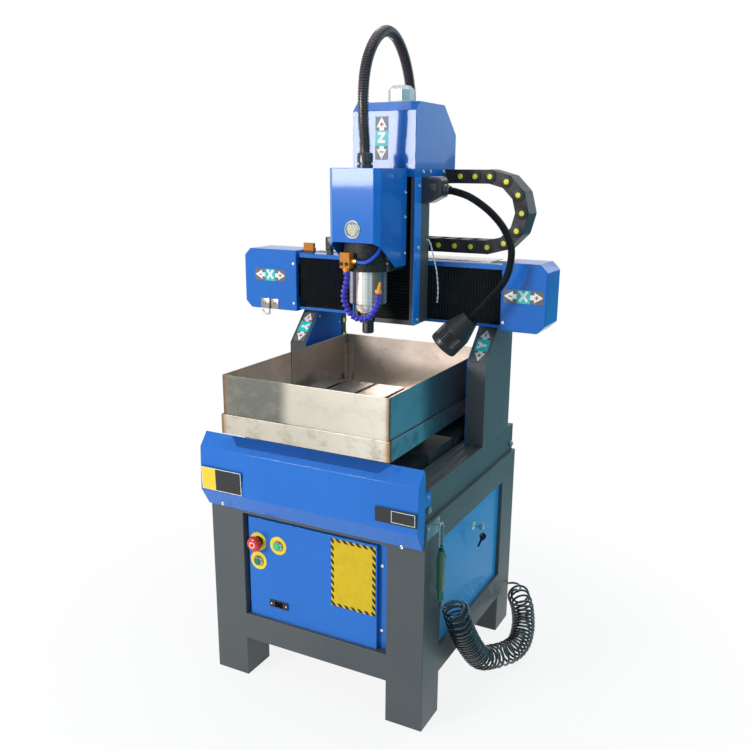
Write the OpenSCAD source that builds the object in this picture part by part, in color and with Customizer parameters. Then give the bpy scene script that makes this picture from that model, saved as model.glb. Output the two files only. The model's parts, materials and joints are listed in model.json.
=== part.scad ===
// Desktop CNC router on a welded stand.
// X is the width (positive to the right), Y the depth (negative at the front), Z up.
// The origin lies on the floor, midway between the four levelling foot holes.

/* [Stand] */
// Width over the legs
stand_w = 620; // [500:5:800]
// Depth over the legs
stand_d = 634; // [520:2:800]
// Height of the stand
stand_h = 549; // [450:1:700]
// Side of a leg
leg = 100; // [80:1:120]
// Wall of the square tubes
tube_wall = 4; // [2:0.5:6]
// Height of the lower rails over the floor
rail_z = 113; // [80:1:200]
// Height of a rail
rail_h = 73; // [50:1:90]
// Depth of a rail, front to back
rail_w = 60; // [40:1:80]
// Thickness of the plate that closes a leg
foot_plate = 6; // [4:1:12]
// Bore for a levelling foot
foot_bore = 12; // [8:0.5:16]

/* [Bed] */
// Ledge of the stand left free round the bed
bed_ledge = 8; // [4:1:12]
// Height of the bed
bed_h = 78.5; // [60:0.5:110]
// Width of the channel in the bed
channel_w = 466; // [380:2:500]
// Depth of the channel
channel_d = 37.5; // [30:0.5:60]
// Wall at the ends of the channel
bed_wall = 12; // [8:1:20]

/* [Sheet metal] */
// Thickness of the folded covers
sheet = 2; // [1.5:0.5:3]
// Width of the folded front cover
cover_w = 616; // [500:2:800]
// Left edge of the control panel
panel_left = -200; // [-240:1:-150]
// Right edge of the control panel
panel_right = 179; // [100:1:200]
// Depth of the control panel box
panel_depth = 15; // [10:1:40]

/* [Table] */
// Height of the saddle over the bed
saddle_h = 73.5; // [60:0.5:100]
// Depth of the saddle
saddle_d = 160; // [120:2:200]
// Width of the tray
tray_w = 470; // [400:2:480]
// Depth of the tray
tray_d = 624; // [500:2:660]
// Height of the splash box over the bottom of the tray
splash_h = 150; // [100:1:200]
// Width of the slotted table
table_w = 400; // [300:5:440]
// Depth of the slotted table
table_d = 320; // [240:5:400]
// Thickness of the slotted table
table_t = 20; // [15:1:30]
// Mouth of a table slot
slot_w = 12; // [8:0.5:16]

/* [Gantry] */
// Width of an upright
upright_w = 51; // [40:1:70]
// Depth of an upright
upright_d = 203; // [160:1:230]
// Height of the uprights
upright_h = 314.5; // [280:0.5:400]
// Length of the beam
beam_l = 623; // [560:1:760]
// Height of the beam
beam_h = 161; // [140:1:200]
// Depth of the beam
beam_d = 96; // [80:1:120]
// Length of the left end cover
left_cover_l = 181; // [150:1:220]
// Length of the right end cover
right_cover_l = 120; // [90:1:160]

/* [Carriage] */
// Place of the carriage along the beam at rest
carriage_x = 23; // [-60:1:60]
// Width of the carriage frame
carriage_w = 174; // [150:2:200]
// Height of the carriage frame
carriage_h = 391; // [340:1:450]
// Height of the tower cover over the carriage frame
tower_h = 164; // [140:1:200]
// Side of the motor on the tower
z_motor_s = 80; // [60:1:90]

/* [Head] */
// Diameter of the spindle
spindle_d = 95; // [65:1:100]
// Bore of the collet
collet_bore = 6; // [3:0.1:8]
// Width of the head cover
head_w = 141; // [130:1:150]
// Height of the head cover
head_h = 240; // [200:1:260]

/* [Drives] */
// Width of a linear rail
rail_s = 20; // [15:1:25]
// Diameter of the ball screws
screw_d = 16; // [12:1:20]
// Radial clearance of a turning shaft
run_fit = 0.05; // [0.02:0.01:0.1]
// Clearance round sliding pieces
slide_gap = 0.5; // [0.3:0.1:1]
// Clearance between pieces of different bodies
gap = 0.4; // [0.3:0.1:1]

/* [Controls] */
// Diameter of the panel holes for the buttons
button_hole = 22; // [16:0.5:30]
// Diameter of the emergency stop head
stop_d = 40; // [30:1:60]

/* [Hidden] */
$fn = 48;
half_w = stand_w / 2;
half_d = stand_d / 2;
foot_x = half_w - leg / 2;
foot_y = half_d - leg / 2;

// Bed
bed_x = half_w - bed_ledge;
bed_y = half_d - bed_ledge;
bed_top = stand_h + bed_h;
floor_z = bed_top - channel_d;
channel_x = channel_w / 2;
channel_y = bed_y - bed_wall;

// Linear guides, common to the three axes
rail_t = 15;
block_half = 17;
y_rail_x = 150;
y_rail_t = 22;
nut_half = 20;
screw_play = 0.5;

// Y drive
y_screw_z = floor_z + 21;
y_motor_s = 42;
y_motor_l = 49;
bearing_t = 8;
saddle_plate = 30;
saddle_lift = 30;
saddle_y = [-43 - saddle_d / 2, -43 + saddle_d / 2];
saddle_x = channel_x - 7;
saddle_z = floor_z + saddle_lift;
bellows_x = channel_x - 5;
bellows_z = [floor_z + 10, floor_z + 55];
pleat = 5;

// Tray and slotted table
pan_z = bed_top + saddle_h;
tray_y = [-43 - tray_d / 2, -43 + tray_d / 2];
tray_x = tray_w / 2;
pan_front = 50;
pan_back = 40;
splash_gap = 5;
splash_foot = 28;
table_y = [-45 - table_d / 2, -45 + table_d / 2];
riser = 24;
table_z = pan_z + sheet + riser;
slot_pitch = 95;

// Uprights and beam
upright_x = bed_x;
upright_in = bed_x - upright_w;
upright_y = [60, 60 + upright_d];
upright_top = bed_top + upright_h;
beam_y = [139, 139 + beam_d];
beam_x = [-bed_x - 1, beam_l - bed_x - 1];
beam_z = [upright_top, upright_top + beam_h];
recess_z = [beam_z[0] + 58, beam_z[0] + 106];
recess_d = 25;
x_rail_z = [beam_z[0] + 33, beam_z[1] - 31];
x_screw_y = beam_y[0] + 1;
x_screw_z = (recess_z[0] + recess_z[1]) / 2;
x_motor_s = 60;
x_motor_x = beam_x[0] - 42;
strip_y = 111;
cover_y = [99, 211];
cover_z = [beam_z[0] - 5, beam_z[1] + 10];
catch_x = beam_x[0] - left_cover_l / 2 - 4;
catch_z = cover_z[0] + 1.5;
catch_w = 61;
bevel = 20;

// Carriage: a frame open to the front that carries the head
face_y = 13;
wall_y = [16, 108.5];
wall_t = 10;
plate_y = 85;
car_x = [carriage_x - carriage_w / 2, carriage_x + carriage_w / 2];
car_z = [beam_z[0] + 3, beam_z[0] + 3 + carriage_h - 14];
z_rail_x = 45;
z_rail_z = [car_z[0] + 30, car_z[1] - 8];
z_screw_y = 62;
top_z = [car_z[1], car_z[1] + 14];
top_y = [15, 265];
block_x = 60;
z_motor_y = 111;
pulley_z = top_z[1] + 4;
pulley_t = 14;
pulley_r = 15;
motor_plate = 6;
tower_y = [face_y, top_y[1] + 5];
tower_top = top_z[1] + tower_h + 3;
belt_gap = 0.4;
motor_cap = 62;
cap_h = 45;
conduit_y = 168;
collar_h = 7.2;

// Head
slide_y = [face_y, 40];
slide_x = 66;
neck_x = 50;
slide_z = [car_z[0] + 165, car_z[0] + 355];
spindle_y = -67;
spindle_z = beam_z[0] + 61;
tier_z = spindle_z - 18;
nut_z = spindle_z - 71;
clamp_r = spindle_d / 2 + 14.5;
clamp_z = [spindle_z + 91, spindle_z + 197];
head_x = head_w / 2;
head_y = [-149, 5];
head_z = [spindle_z + 99, spindle_z + 99 + head_h];
head_bevel = 13.5;
boss_y = [face_y - 8, face_y];
fold_x = head_x - 9;
fold_w = 19;
gland_y = -86;
gland_hole = 24;
gland_d = 42;
gland_h = 36;
gland_bore = 16;

// Coolant block and hose, at the left of the clamp
block_at = [1.5, -139];
coolant_z = [spindle_z + 101, spindle_z + 139];
hose_x = -0.5;
hose_d = 17;
hose_stem = 10;

// Cords: points chosen by hand
conduit_d = 27;
conduit_route = [
    [23, -86, 1378], [23, -87, 1396], [23, -90, 1420], [23, -94, 1447], [23, -96, 1480], [23, -95, 1520],
    [23, -88, 1560], [23, -71, 1598], [23, -43, 1632], [23, -9, 1656], [23, 28, 1667],
    [23, 65, 1662], [23, 98, 1644], [23, 127, 1615], [23, 148, 1582], [23, 161, 1550],
    [23, 167, 1530], [23, conduit_y, 1511]];
tube_d = 9;
tube_route = [
    [30, -139, 1121], [40, -138, 1119], [52, -136, 1120], [64, -131, 1126], [74, -122, 1138],
    [80, -111, 1152], [82, -100, 1162], [82, -89, 1165]];
tube_end = tube_route[len(tube_route) - 1];
hose_route = [
    [-0.5, -139, 1096], [3.5, -139, 1080], [0, -139, 1066], [-5, -139, 1052], [-7.5, -139, 1037],
    [-7, -139, 1023], [-2, -139, 1009], [5, -139, 997], [15, -139, 988], [28, -139, 981],
    [43, -139, 979], [58, -139, 983], [69, -139, 990], [77, -139, 1001], [84, -139, 1014],
    [88, -139, 1031], [89, -139, 1047]];
hose_end = hose_route[len(hose_route) - 1];
wire_d = 4;
wire_route = [
    [110, 94, 1162], [116, 94, 1161], [122, 94, 1150], [128, 94, 1130], [134, 94, 1108],
    [140, 94, 1085], [144, 94, 1060], [146, 94, 1035], [146, 94, 1015], [145, 94, 998]];
goose_d = 19;
goose_route = [
    [166, 76, 1291], [202, 73, 1285], [242, 69, 1272], [289, 64, 1244], [326, 59, 1211],
    [348, 54, 1179], [360, 49, 1146], [357, 42, 1099], [341, 35, 1061], [308, 29, 1021],
    [286, 25, 996], [270, 21.8, 977.6]];
lamp_at = [270, 21.8, 977.6];
lamp_end = [202, 5, 902];
air_d = 6.5;
gun_lead = [
    [328, -262, 338], [328, -262, 324], [330, -254, 314], [334, -242, 310], [339, -228, 311],
    [346, -216, 313]];
coil_d = 69;
coil_route = [
    [346, -216, 313], [351, -190, 248], [357, -130, 157], [363, -60, 82], [374, 12, 46],
    [402, 70, 38], [414, 120, 43], [406, 180, 64], [385, 230, 92], [357, 278, 100],
    [347, 304, 98]];
wall_lead = [
    [347, 304, 98], [347, 326, 100], [341, 342, 98], [330, 354, 96], [315, 359, 94],
    [300, 356, 91], [289, 347, 89], [285, 337, 88]];
fitting_at = [285, half_d, 88];

// Control panel: places of what it carries, as [x, z]
panel_y = 10 - half_d;
panel_z = [rail_z + rail_h, stand_h - rail_h - 10];
stop_at = [-170, 401.5];
start_at = [-108, 402];
light_at = [-170.5, 347];
inlet_at = [-109, 234];
inlet_w = 56;
inlet_h = 20;

// Right side panel with its lock, as [y, z]
side_x = half_w - 10;
lock_at = [15, 420];
lock_r = 9.5;
panel_play = 1;

// Air gun on its hook, as [x, y]
gun_at = [328, -262];
gun_z = [338, 478];
ring_y = -258;
ring_x = 324;
ring_z = [474, 540];
ring_wire = 5;

// Colours
grey = "#55585c";
blue = "#2d6ecd";
black = "#1c1c1e";
steel = "#b8bcc0";

// A box between pairs of limits
module span(x, y, z) {
    translate([x[0], y[0], z[0]])
        cube([x[1] - x[0], y[1] - y[0], z[1] - z[0]]);
}

module mirrored() {
    children();
    mirror([1, 0, 0]) children();
}

// Round bars along each axis
module bar_x(d, x) {
    translate([x[0], 0, 0]) rotate([0, 90, 0]) cylinder(d = d, h = x[1] - x[0]);
}

module bar_y(d, y) {
    translate([0, y[1], 0]) rotate([90, 0, 0]) cylinder(d = d, h = y[1] - y[0]);
}

module bar_z(d, z) {
    translate([0, 0, z[0]]) cylinder(d = d, h = z[1] - z[0]);
}

// A drawn [y, z] profile between two values of x
module along_x(points, x) {
    translate([x[0], 0, 0]) rotate([90, 0, 90]) linear_extrude(x[1] - x[0]) polygon(points);
}

// A drawn [x, z] profile between two values of y
module along_y(points, y) {
    translate([0, y[1], 0]) rotate([90, 0, 0]) linear_extrude(y[1] - y[0]) polygon(points);
}

// Offset of an open line to its left, for folded sheet
function unit(v) = v / norm(v);
function side(a, b) = [a[1] - b[1], b[0] - a[0]] / norm(b - a);
function corner(a, b, c, t) =
    let (n = side(a, b), m = unit(n + side(b, c))) b + m * t / (m * n);
function beside(p, t) = [for (i = [0 : len(p) - 1])
    i == 0 ? p[0] + t * side(p[0], p[1])
        : i == len(p) - 1 ? p[i] + t * side(p[i - 1], p[i])
        : corner(p[i - 1], p[i], p[i + 1], t)];
function reversed(p) = [for (i = [len(p) - 1 : -1 : 0]) p[i]];
function folded(p, t) = concat(p, reversed(beside(p, t)));
// A closed outline, drawn against the clock, moved inwards
function inset(p, t) = [for (i = [0 : len(p) - 1])
    corner(p[(i + len(p) - 1) % len(p)], p[i], p[(i + 1) % len(p)], t)];

// A pleated line from a to b, in and out by depth
function pleated(a, b, count, depth) = [for (i = [0 : count])
    [a + (b - a) * i / count, i % 2 == 0 ? 0 : depth]];

// Round tube along a route
function ahead(p, i) = unit(p[min(i + 1, len(p) - 1)] - p[max(i - 1, 0)]);
function squared(n, t) = unit(n - (n * t) * t);
function normals(p, i, n) = i == len(p) ? []
    : let (m = squared(n, ahead(p, i))) concat([m], normals(p, i + 1, m));
function eased(p, n) = concat([for (i = [0 : len(p) - 2], k = [0 : n - 1])
    let (a = p[max(i - 1, 0)], b = p[i], c = p[i + 1], e = p[min(i + 2, len(p) - 1)], t = k / n)
    b + (c - a) * t / 2 + (2 * a - 5 * b + 4 * c - e) * t * t / 2
        + (3 * b - a - 3 * c + e) * t * t * t / 2], [p[len(p) - 1]]);

module tube(route, d, sides, across) {
    last = len(route) - 1;
    out = normals(route, 0, squared(across, ahead(route, 0)));
    points = [for (i = [0 : last], k = [0 : sides - 1])
        route[i] + d / 2 * (cos(360 * k / sides) * out[i]
            + sin(360 * k / sides) * cross(ahead(route, i), out[i]))];
    walls = [for (i = [0 : last - 1], k = [0 : sides - 1])
        let (a = i * sides + k, b = i * sides + (k + 1) % sides)
        each [[a, a + sides, b + sides], [a, b + sides, b]]];
    ends = [[for (k = [0 : sides - 1]) k],
        [for (k = [sides - 1 : -1 : 0]) last * sides + k]];
    polyhedron(points, concat(walls, ends), convexity = 8);
}

// ---- Frame ----

module square_tube(x, y, z, open) {
    difference() {
        span(x, y, z);
        span(open == 0 ? [x[0] - 1, x[1] + 1] : [x[0] + tube_wall, x[1] - tube_wall],
            open == 1 ? [y[0] - 1, y[1] + 1] : [y[0] + tube_wall, y[1] - tube_wall],
            open == 2 ? [z[0] + foot_plate, z[1] - tube_wall]
                : [z[0] + tube_wall, z[1] - tube_wall]);
    }
}

module rail_ring(z) {
    for (s = [-1, 1]) {
        y = s < 0 ? [-half_d, rail_w - half_d] : [half_d - rail_w, half_d];
        x = s < 0 ? [-half_w, rail_w - half_w] : [half_w - rail_w, half_w];
        square_tube([leg - half_w, half_w - leg], y, z, 0);
        square_tube(x, [leg - half_d, half_d - leg], z, 1);
    }
}

module stand() color(grey) {
    for (sx = [-1, 1], sy = [-1, 1]) {
        difference() {
            translate([sx * foot_x, sy * foot_y, 0])
                square_tube([-leg / 2, leg / 2], [-leg / 2, leg / 2], [0, stand_h], 2);
            translate([sx * foot_x, sy * foot_y, 0])
                bar_z(foot_bore, [-1, foot_plate + 1]);
        }
    }
    rail_ring([rail_z, rail_z + rail_h]);
    rail_ring([stand_h - rail_h + 1, stand_h]);
    // keeper that the cam of the lock turns behind
    span([side_x - 12, side_x - 9], [lock_at[0] - 12, lock_at[0] + 12],
        [lock_at[1] + 20, stand_h - rail_h + 5]);
}

module bed() color(grey) difference() {
    union() {
        difference() {
            span([-bed_x, bed_x], [-bed_y, bed_y], [stand_h, bed_top]);
            span([-channel_x, channel_x], [-channel_y, channel_y], [floor_z, bed_top + 1]);
            span([-bed_x + bed_wall, bed_x - bed_wall], [-channel_y, channel_y],
                [stand_h - 1, floor_z - bed_wall]);
            for (s = [-1, 1], x = [260, 285])
                span([s * x - 3, s * x + 3], [-bed_y - 1, bed_y + 1], [bed_top - 3, bed_top + 1]);
        }
        // bearings of the Y screw
        span([-nut_half, nut_half], [-channel_y, 12 - channel_y], [floor_z, floor_z + y_motor_s]);
        span([-nut_half, nut_half], [channel_y - y_motor_l - bearing_t, channel_y - y_motor_l],
            [floor_z, floor_z + y_motor_s]);
    }
    translate([0, 0, y_screw_z]) bar_y(screw_d + 2 * run_fit, [-channel_y + 2, channel_y - y_motor_l + 1]);
}

// Folded cover before the bed, as [y, z]
cover_line = [
    [-half_d - 12, bed_top - 136.5], [-half_d - 41, bed_top - 87.5],
    [-half_d - 37, bed_top + 26.5], [-half_d - 10, bed_top + 60.5]];

module front_cover() color(blue) {
    half = cover_w / 2;
    along_x(folded(reversed(cover_line), sheet), [-half, half]);
    for (s = [-1, 1]) {
        cheek = s < 0 ? [-half, sheet - half] : [half - sheet, half];
        along_x(concat(cover_line, [[-half_d - 2, bed_top + 45], [-half_d - 2, bed_top - 120]]), cheek);
        // tab screwed to the side of the bed
        span(s < 0 ? [-half, -bed_x] : [bed_x, half], [-half_d - 6, 30 - half_d],
            [bed_top - 35, bed_top - 2]);
    }
}

module panel_hole(at, d) {
    translate([at[0], 0, at[1]]) bar_y(d, [panel_y - 1, panel_y + sheet + 1]);
}

module control_panel() color(blue) difference() {
    union() {
        difference() {
            span([panel_left, panel_right], [panel_y, panel_y + panel_depth], panel_z);
            span([panel_left + sheet, panel_right - sheet],
                [panel_y + sheet, panel_y + panel_depth + 1], [panel_z[0] + sheet, panel_z[1] - sheet]);
        }
        for (x = [[leg - half_w, panel_left + 0.1], [panel_right - 0.1, half_w - leg]])
            span(x, [panel_y + panel_depth - sheet, panel_y + panel_depth], panel_z);
    }
    panel_hole(stop_at, button_hole);
    panel_hole(start_at, button_hole);
    panel_hole(light_at, button_hole);
    span([inlet_at[0] - 14, inlet_at[0] + 14], [panel_y - 1, panel_y + sheet + 1],
        [inlet_at[1] - 9, inlet_at[1] + 9]);
}

// Body of a panel button with the bore that its stem slides in
module button_body(at, ring, bore) {
    translate([at[0], 0, at[1]]) difference() {
        union() {
            bar_y(ring, [panel_y - 3, panel_y]);
            bar_y(button_hole, [panel_y - 0.1, panel_y + 45]);
            bar_y(ring, [panel_y + sheet, panel_y + sheet + 5]);
        }
        bar_y(bore, [panel_y - 4, panel_y + 40]);
    }
}

module button_bodies() color(black) {
    button_body(stop_at, 30, 12 + 2 * run_fit);
    button_body(start_at, 29, 20 + 2 * run_fit);
    button_body(light_at, 29, 20 + 2 * run_fit);
}

module e_stop_head() color("#b02020") translate([stop_at[0], 0, stop_at[1]])
    translate([0, panel_y, 0]) rotate([90, 0, 0]) rotate_extrude()
        polygon([[0, -25], [6, -25], [6, 10], [14, 10], [stop_d / 2 - 1, 14], [stop_d / 2, 18],
            [stop_d / 2 - 2, 24], [stop_d / 2 - 7, 28], [0, 30]]);

module lit_cap(at) translate([at[0], panel_y, at[1]]) rotate([90, 0, 0]) rotate_extrude()
    polygon([[0, -12], [10, -12], [10, 8], [8.5, 9.5], [0, 10]]);

module start_cap() color("#20a040") lit_cap(start_at);

module light_cap() color("#206040") lit_cap(light_at);

module power_inlet() color(black) translate([inlet_at[0], panel_y, inlet_at[1]]) {
    difference() {
        union() {
            span([-inlet_w / 2, inlet_w / 2], [-3, 0], [-inlet_h / 2, inlet_h / 2]);
            span([-14, 14], [-0.1, 28], [-9, 9]);
        }
        span([-12, 12], [-4, 18], [-7.5, 7.5]);
    }
    // contact pins
    for (p = [[-7, -2], [7, -2], [0, 3]])
        translate([p[0], 0, p[1]]) span([-1, 1], [0, 18.1], [-2, 2]);
}

module cabinet_door(x) {
    y = half_d - leg - panel_play;
    span(x, [-y, y], [rail_z + rail_h, stand_h - rail_h]);
}

module side_panel() color(blue) difference() {
    union() {
        cabinet_door([side_x - sheet, side_x]);
        for (s = [-1, 1]) {
            y = half_d - leg - panel_play;
            span([side_x - 15, side_x], s < 0 ? [-y, sheet - y] : [y - sheet, y],
                [rail_z + rail_h, stand_h - rail_h]);
        }
    }
    translate([0, lock_at[0], lock_at[1]])
        bar_x(2 * lock_r + 2 * run_fit, [side_x - 5, side_x + 1]);
}

module cabinet_panels() color(blue) {
    cabinet_door([-side_x, sheet - side_x]);
    span([leg - half_w + panel_play, half_w - leg - panel_play], [half_d - 12, half_d - 10],
        [rail_z + rail_h, stand_h - rail_h]);
}

module cabinet_electrics() color(steel) {
    plate_x = half_w - rail_w + 6;
    plate_z = rail_z + rail_h;
    plate_y = half_d - leg - panel_play;
    span([-plate_x, plate_x], [-plate_y, plate_y], [plate_z, plate_z + 3]);
    // stepper drives, spindle inverter and power supply
    for (i = [0 : 3])
        span([-200 + 45 * i, -166 + 45 * i], [60, 178], [plate_z + 3, plate_z + 121]);
    span([40, 160], [40, 180], [plate_z + 3, plate_z + 173]);
    span([-60, 155], [-160, -45], [plate_z + 3, plate_z + 53]);
}

// Side view of an upright, as [y, z]
upright_line = [
    [upright_y[0], bed_top], [upright_y[1], bed_top], [upright_y[1], upright_top - 32],
    [beam_y[1], upright_top], [beam_y[0], upright_top], [beam_y[0] - 2, upright_top - 7],
    [upright_y[0], upright_top - 89]];

module upright() difference() {
    along_x(upright_line, [upright_in, upright_x]);
    along_x(inset(upright_line, 14), [upright_in - 1, upright_x - 14]);
}

module left_upright() color(grey) mirror([1, 0, 0]) upright();

module right_upright() color(grey) upright();

module upright_sheets() color(blue) mirrored()
    along_x(upright_line, [upright_in - sheet, upright_in]);

module beam() color(grey) difference() {
    union() {
        difference() {
            span(beam_x, beam_y, beam_z);
            span([beam_x[0] - 1, beam_x[1] + 1], [beam_y[0] - 1, beam_y[0] + recess_d], recess_z);
            span([beam_x[0] - 1, beam_x[1] + 1], [beam_y[0] + recess_d + 12, beam_y[1] - 12],
                [beam_z[0] + 12, beam_z[1] - 12]);
        }
        for (x = [[beam_x[0], beam_x[0] + 20], [beam_x[1] - 20, beam_x[1]]])
            span(x, [x_screw_y - 16, beam_y[0] + recess_d], recess_z);
    }
    translate([0, x_screw_y, x_screw_z]) bar_x(screw_d + 2 * run_fit, [beam_x[0] - 1, beam_x[1] - 4]);
}

module beam_strips() color(blue) {
    low = beam_z[0];
    high = beam_z[1];
    along_x([[strip_y, low], [beam_y[0], low], [beam_y[0], low + sheet], [strip_y + sheet, low + sheet],
        [strip_y + sheet, low + 8], [strip_y, low + 8]], beam_x);
    along_x([[strip_y, high - 10], [strip_y + sheet, high - 10], [strip_y + sheet, high],
        [beam_y[0] + 16, high], [beam_y[0] + 16, high + sheet], [strip_y, high + sheet]], beam_x);
}

// End cover of the beam: start is its open end, which faces the beam
module end_cover(start, length) {
    s = sign(length);
    line = [[start, cover_z[0]], [start + length - s * bevel, cover_z[0]],
        [start + length, cover_z[0] + bevel], [start + length, cover_z[1] - bevel],
        [start + length - s * bevel, cover_z[1]], [start, cover_z[1]]];
    turned = s > 0 ? line : reversed(line);
    difference() {
        along_y(turned, cover_y);
        along_y(inset(turned, sheet), [cover_y[0] + sheet, cover_y[1] - sheet]);
        span([min(start - 3, start + 3), max(start - 3, start + 3)], [cover_y[0] + 12, cover_y[1] - 20],
            [cover_z[0] + 40, cover_z[1] - 40]);
    }
}

module left_end_cover() color(blue) end_cover(beam_x[0], -left_cover_l);

module right_end_cover() color(blue) end_cover(beam_x[1], right_cover_l);

module linear_rails() color(steel) {
    for (s = [-1, 1])
        span([s * y_rail_x - rail_s / 2, s * y_rail_x + rail_s / 2], [-channel_y, channel_y],
            [floor_z, floor_z + y_rail_t]);
    for (z = x_rail_z)
        span(beam_x, [beam_y[0] - rail_t, beam_y[0]], [z - rail_s / 2, z + rail_s / 2]);
}

module axis_motors() color(black) {
    half = x_motor_s / 2;
    translate([0, x_screw_y, x_screw_z]) {
        span([x_motor_x - 60, x_motor_x], [-half, half], [-half, half]);
        difference() {
            bar_x(58, [x_motor_x - 0.1, beam_x[0]]);
            bar_x(44, [x_motor_x, beam_x[0] + 1]);
        }
    }
    span([-y_motor_s / 2, y_motor_s / 2], [channel_y - y_motor_l, channel_y],
        [floor_z, floor_z + y_motor_s]);
}

// Energy chain over the tray: two straight runs and a half round
chain_y = [193, 269];
chain_h = 38;
chain_top = top_z[1] - 13;
chain_r = 91.5;
chain_mid = chain_top - chain_r;
chain_x = [car_x[1] + 8, 242];
chain_end = -40;

module energy_chain() color(black) {
    span(chain_x, chain_y, [chain_top - chain_h / 2, chain_top + chain_h / 2]);
    span([chain_end, chain_x[1]], chain_y,
        [chain_mid - chain_r - chain_h / 2, chain_mid - chain_r + chain_h / 2]);
    intersection() {
        translate([chain_x[1], 0, chain_mid]) difference() {
            bar_y(2 * chain_r + chain_h, chain_y);
            bar_y(2 * chain_r - chain_h, [chain_y[0] - 1, chain_y[1] + 1]);
        }
        span([chain_x[1], chain_x[1] + 200], chain_y, [chain_mid - 200, chain_mid + 200]);
    }
}

module chain_tray() color(black) {
    top = beam_z[1] + sheet;
    span([chain_end - 30, chain_x[1] + 20], [beam_y[0] + 36, chain_y[1] + 3], [beam_z[1], top]);
    // bracket that holds the fixed end of the chain
    span([chain_end - 20, chain_end + 12], [chain_y[0] + 2, chain_y[1] - 2],
        [top, chain_mid - chain_r - chain_h / 2]);
}

// Snap ring: two half rounds joined by straight wires, upright in the YZ plane
module snap_ring() {
    r = 11;
    for (s = [-1, 1])
        translate([ring_x, ring_y, s > 0 ? ring_z[1] - r - ring_wire / 2 : ring_z[0] + r + ring_wire / 2])
            rotate([90, 0, 90]) rotate([0, 0, s > 0 ? 0 : 180])
                rotate_extrude(angle = 180) translate([r, 0]) circle(d = ring_wire);
    for (s = [-1, 1])
        translate([ring_x, ring_y + s * r, 0])
            bar_z(ring_wire, [ring_z[0] + r + ring_wire / 2, ring_z[1] - r - ring_wire / 2]);
}

module air_hook() color(steel) {
    span([half_w, half_w + sheet], [-312, -240], [stand_h - 40, stand_h - 2]);
    translate([0, ring_y, ring_z[1] - ring_wire - 3]) bar_x(6, [half_w + sheet, ring_x + 6]);
    snap_ring();
}

lever_at = [gun_at[1] + 8, gun_z[1] - 30];

module air_gun() color("#2f7a55") {
    x = gun_at[0];
    y = gun_at[1];
    difference() {
        union() {
            // grip, tapered to the fitting
            along_y([[x - 8, gun_z[0] + 30], [x + 8, gun_z[0] + 30], [x + 9, gun_z[1] - 30],
                [x + 6, gun_z[1] - 8], [x - 6, gun_z[1] - 8], [x - 9, gun_z[1] - 30]], [y - 9, y + 5]);
            span([ring_x - 4, ring_x + 6], [ring_y - 2, ring_y + 2], [gun_z[1] - 10, gun_z[1] + 4]);
            for (s = [-1, 1])
                span(s < 0 ? [x - 8, x - 4 - gap] : [x + 4 + gap, x + 8], [y + 4, lever_at[0] + 4],
                    [lever_at[1] - 5, lever_at[1] + 5]);
        }
        translate([ring_x, 0, ring_z[0] + ring_wire / 2]) bar_y(ring_wire + gap, [ring_y - 9, ring_y + 9]);
        translate([0, lever_at[0], lever_at[1]]) bar_x(4 + 2 * run_fit, [x - 9, x + 9]);
    }
    translate([x, y, 0]) bar_z(16, [gun_z[0] + 6, gun_z[0] + 30]);
    translate([x, y, 0]) bar_z(10, [gun_z[0], gun_z[0] + 6.1]);
}

module gun_lever() color("#2f7a55") {
    x = gun_at[0];
    translate([0, lever_at[0], lever_at[1]]) {
        bar_x(4, [x - 8, x + 8]);
        along_x([[-1.5, 2], [1.5, 3], [12, -66], [9, -68]], [x - 4, x + 4]);
    }
}

module air_hose_coil() color(black) tube(eased(coil_route, 2), coil_d, 12, [1, 0, 0]);

module air_hose_lead() color(black) {
    tube(eased(gun_lead, 2), air_d, 8, [1, 0, 0]);
    tube(eased(wall_lead, 2), air_d, 8, [1, 0, 0]);
}

module hose_fitting() color("#c09040") translate([fitting_at[0], 0, fitting_at[2]]) {
    bar_y(14, [half_d, half_d + 10]);
    bar_y(10, [half_d + 9.9, half_d + 20]);
}

// Heads of the screws that hold the fixed covers
module cover_screws() color(steel) {
    d = 8;
    t = 2.5;
    flange_y = panel_y + panel_depth - sheet;
    for (x = [panel_left - 5, panel_right + 9], z = [panel_z[0] + 50, panel_z[1] - 55])
        translate([x, 0, z]) bar_y(d, [flange_y - t, flange_y]);
    for (s = [-1, 1]) {
        translate([0, 12 - half_d, bed_top - 11.5])
            bar_x(d, s < 0 ? [-cover_w / 2 - t, -cover_w / 2] : [cover_w / 2, cover_w / 2 + t]);
        for (p = [[upright_y[0] + 12, bed_top + 20], [upright_y[0] + 12, bed_top + 200],
            [upright_y[1] - 15, bed_top + 20], [upright_y[1] - 15, bed_top + 260]])
            translate([0, p[0], p[1]])
                bar_x(d, s < 0 ? [sheet - upright_in, sheet + t - upright_in]
                    : [upright_in - sheet - t, upright_in - sheet]);
        for (z = [cover_z[0] + 23, cover_z[1] - 38])
            translate([s < 0 ? beam_x[0] - 9 : beam_x[1] + 9, 0, z])
                bar_y(d, [cover_y[0] - t, cover_y[0]]);
    }
    // catch on the left end cover: plate, pin and hook
    front = cover_y[0];
    span([catch_x - catch_w / 2, catch_x + catch_w / 2], [front - 1.8, front], [catch_z, catch_z + 29]);
    translate([catch_x, front - 3, 0]) bar_z(5, [catch_z - 18, catch_z + 28]);
    translate([0, front - 3, catch_z - 15.5]) bar_x(4.4, [catch_x - 24, catch_x]);
    translate([catch_x - 21.5, front - 3, 0]) bar_z(4, [catch_z - 15.5, catch_z - 5]);
}

// Flat pleated curtain beside the carriage, from the beam's end to its block
module x_bellows(x) {
    count = 2 * round((x[1] - x[0]) / 14);
    line = [for (p = pleated(x[0], x[1], count, -6.5)) [p[0], p[1] + strip_y + 10]];
    translate([0, 0, beam_z[0] + 10]) linear_extrude(beam_h - 22) polygon(folded(line, 1));
}

module x_bellows_left() color(black) x_bellows([beam_x[0], carriage_x - block_x]);

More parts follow.
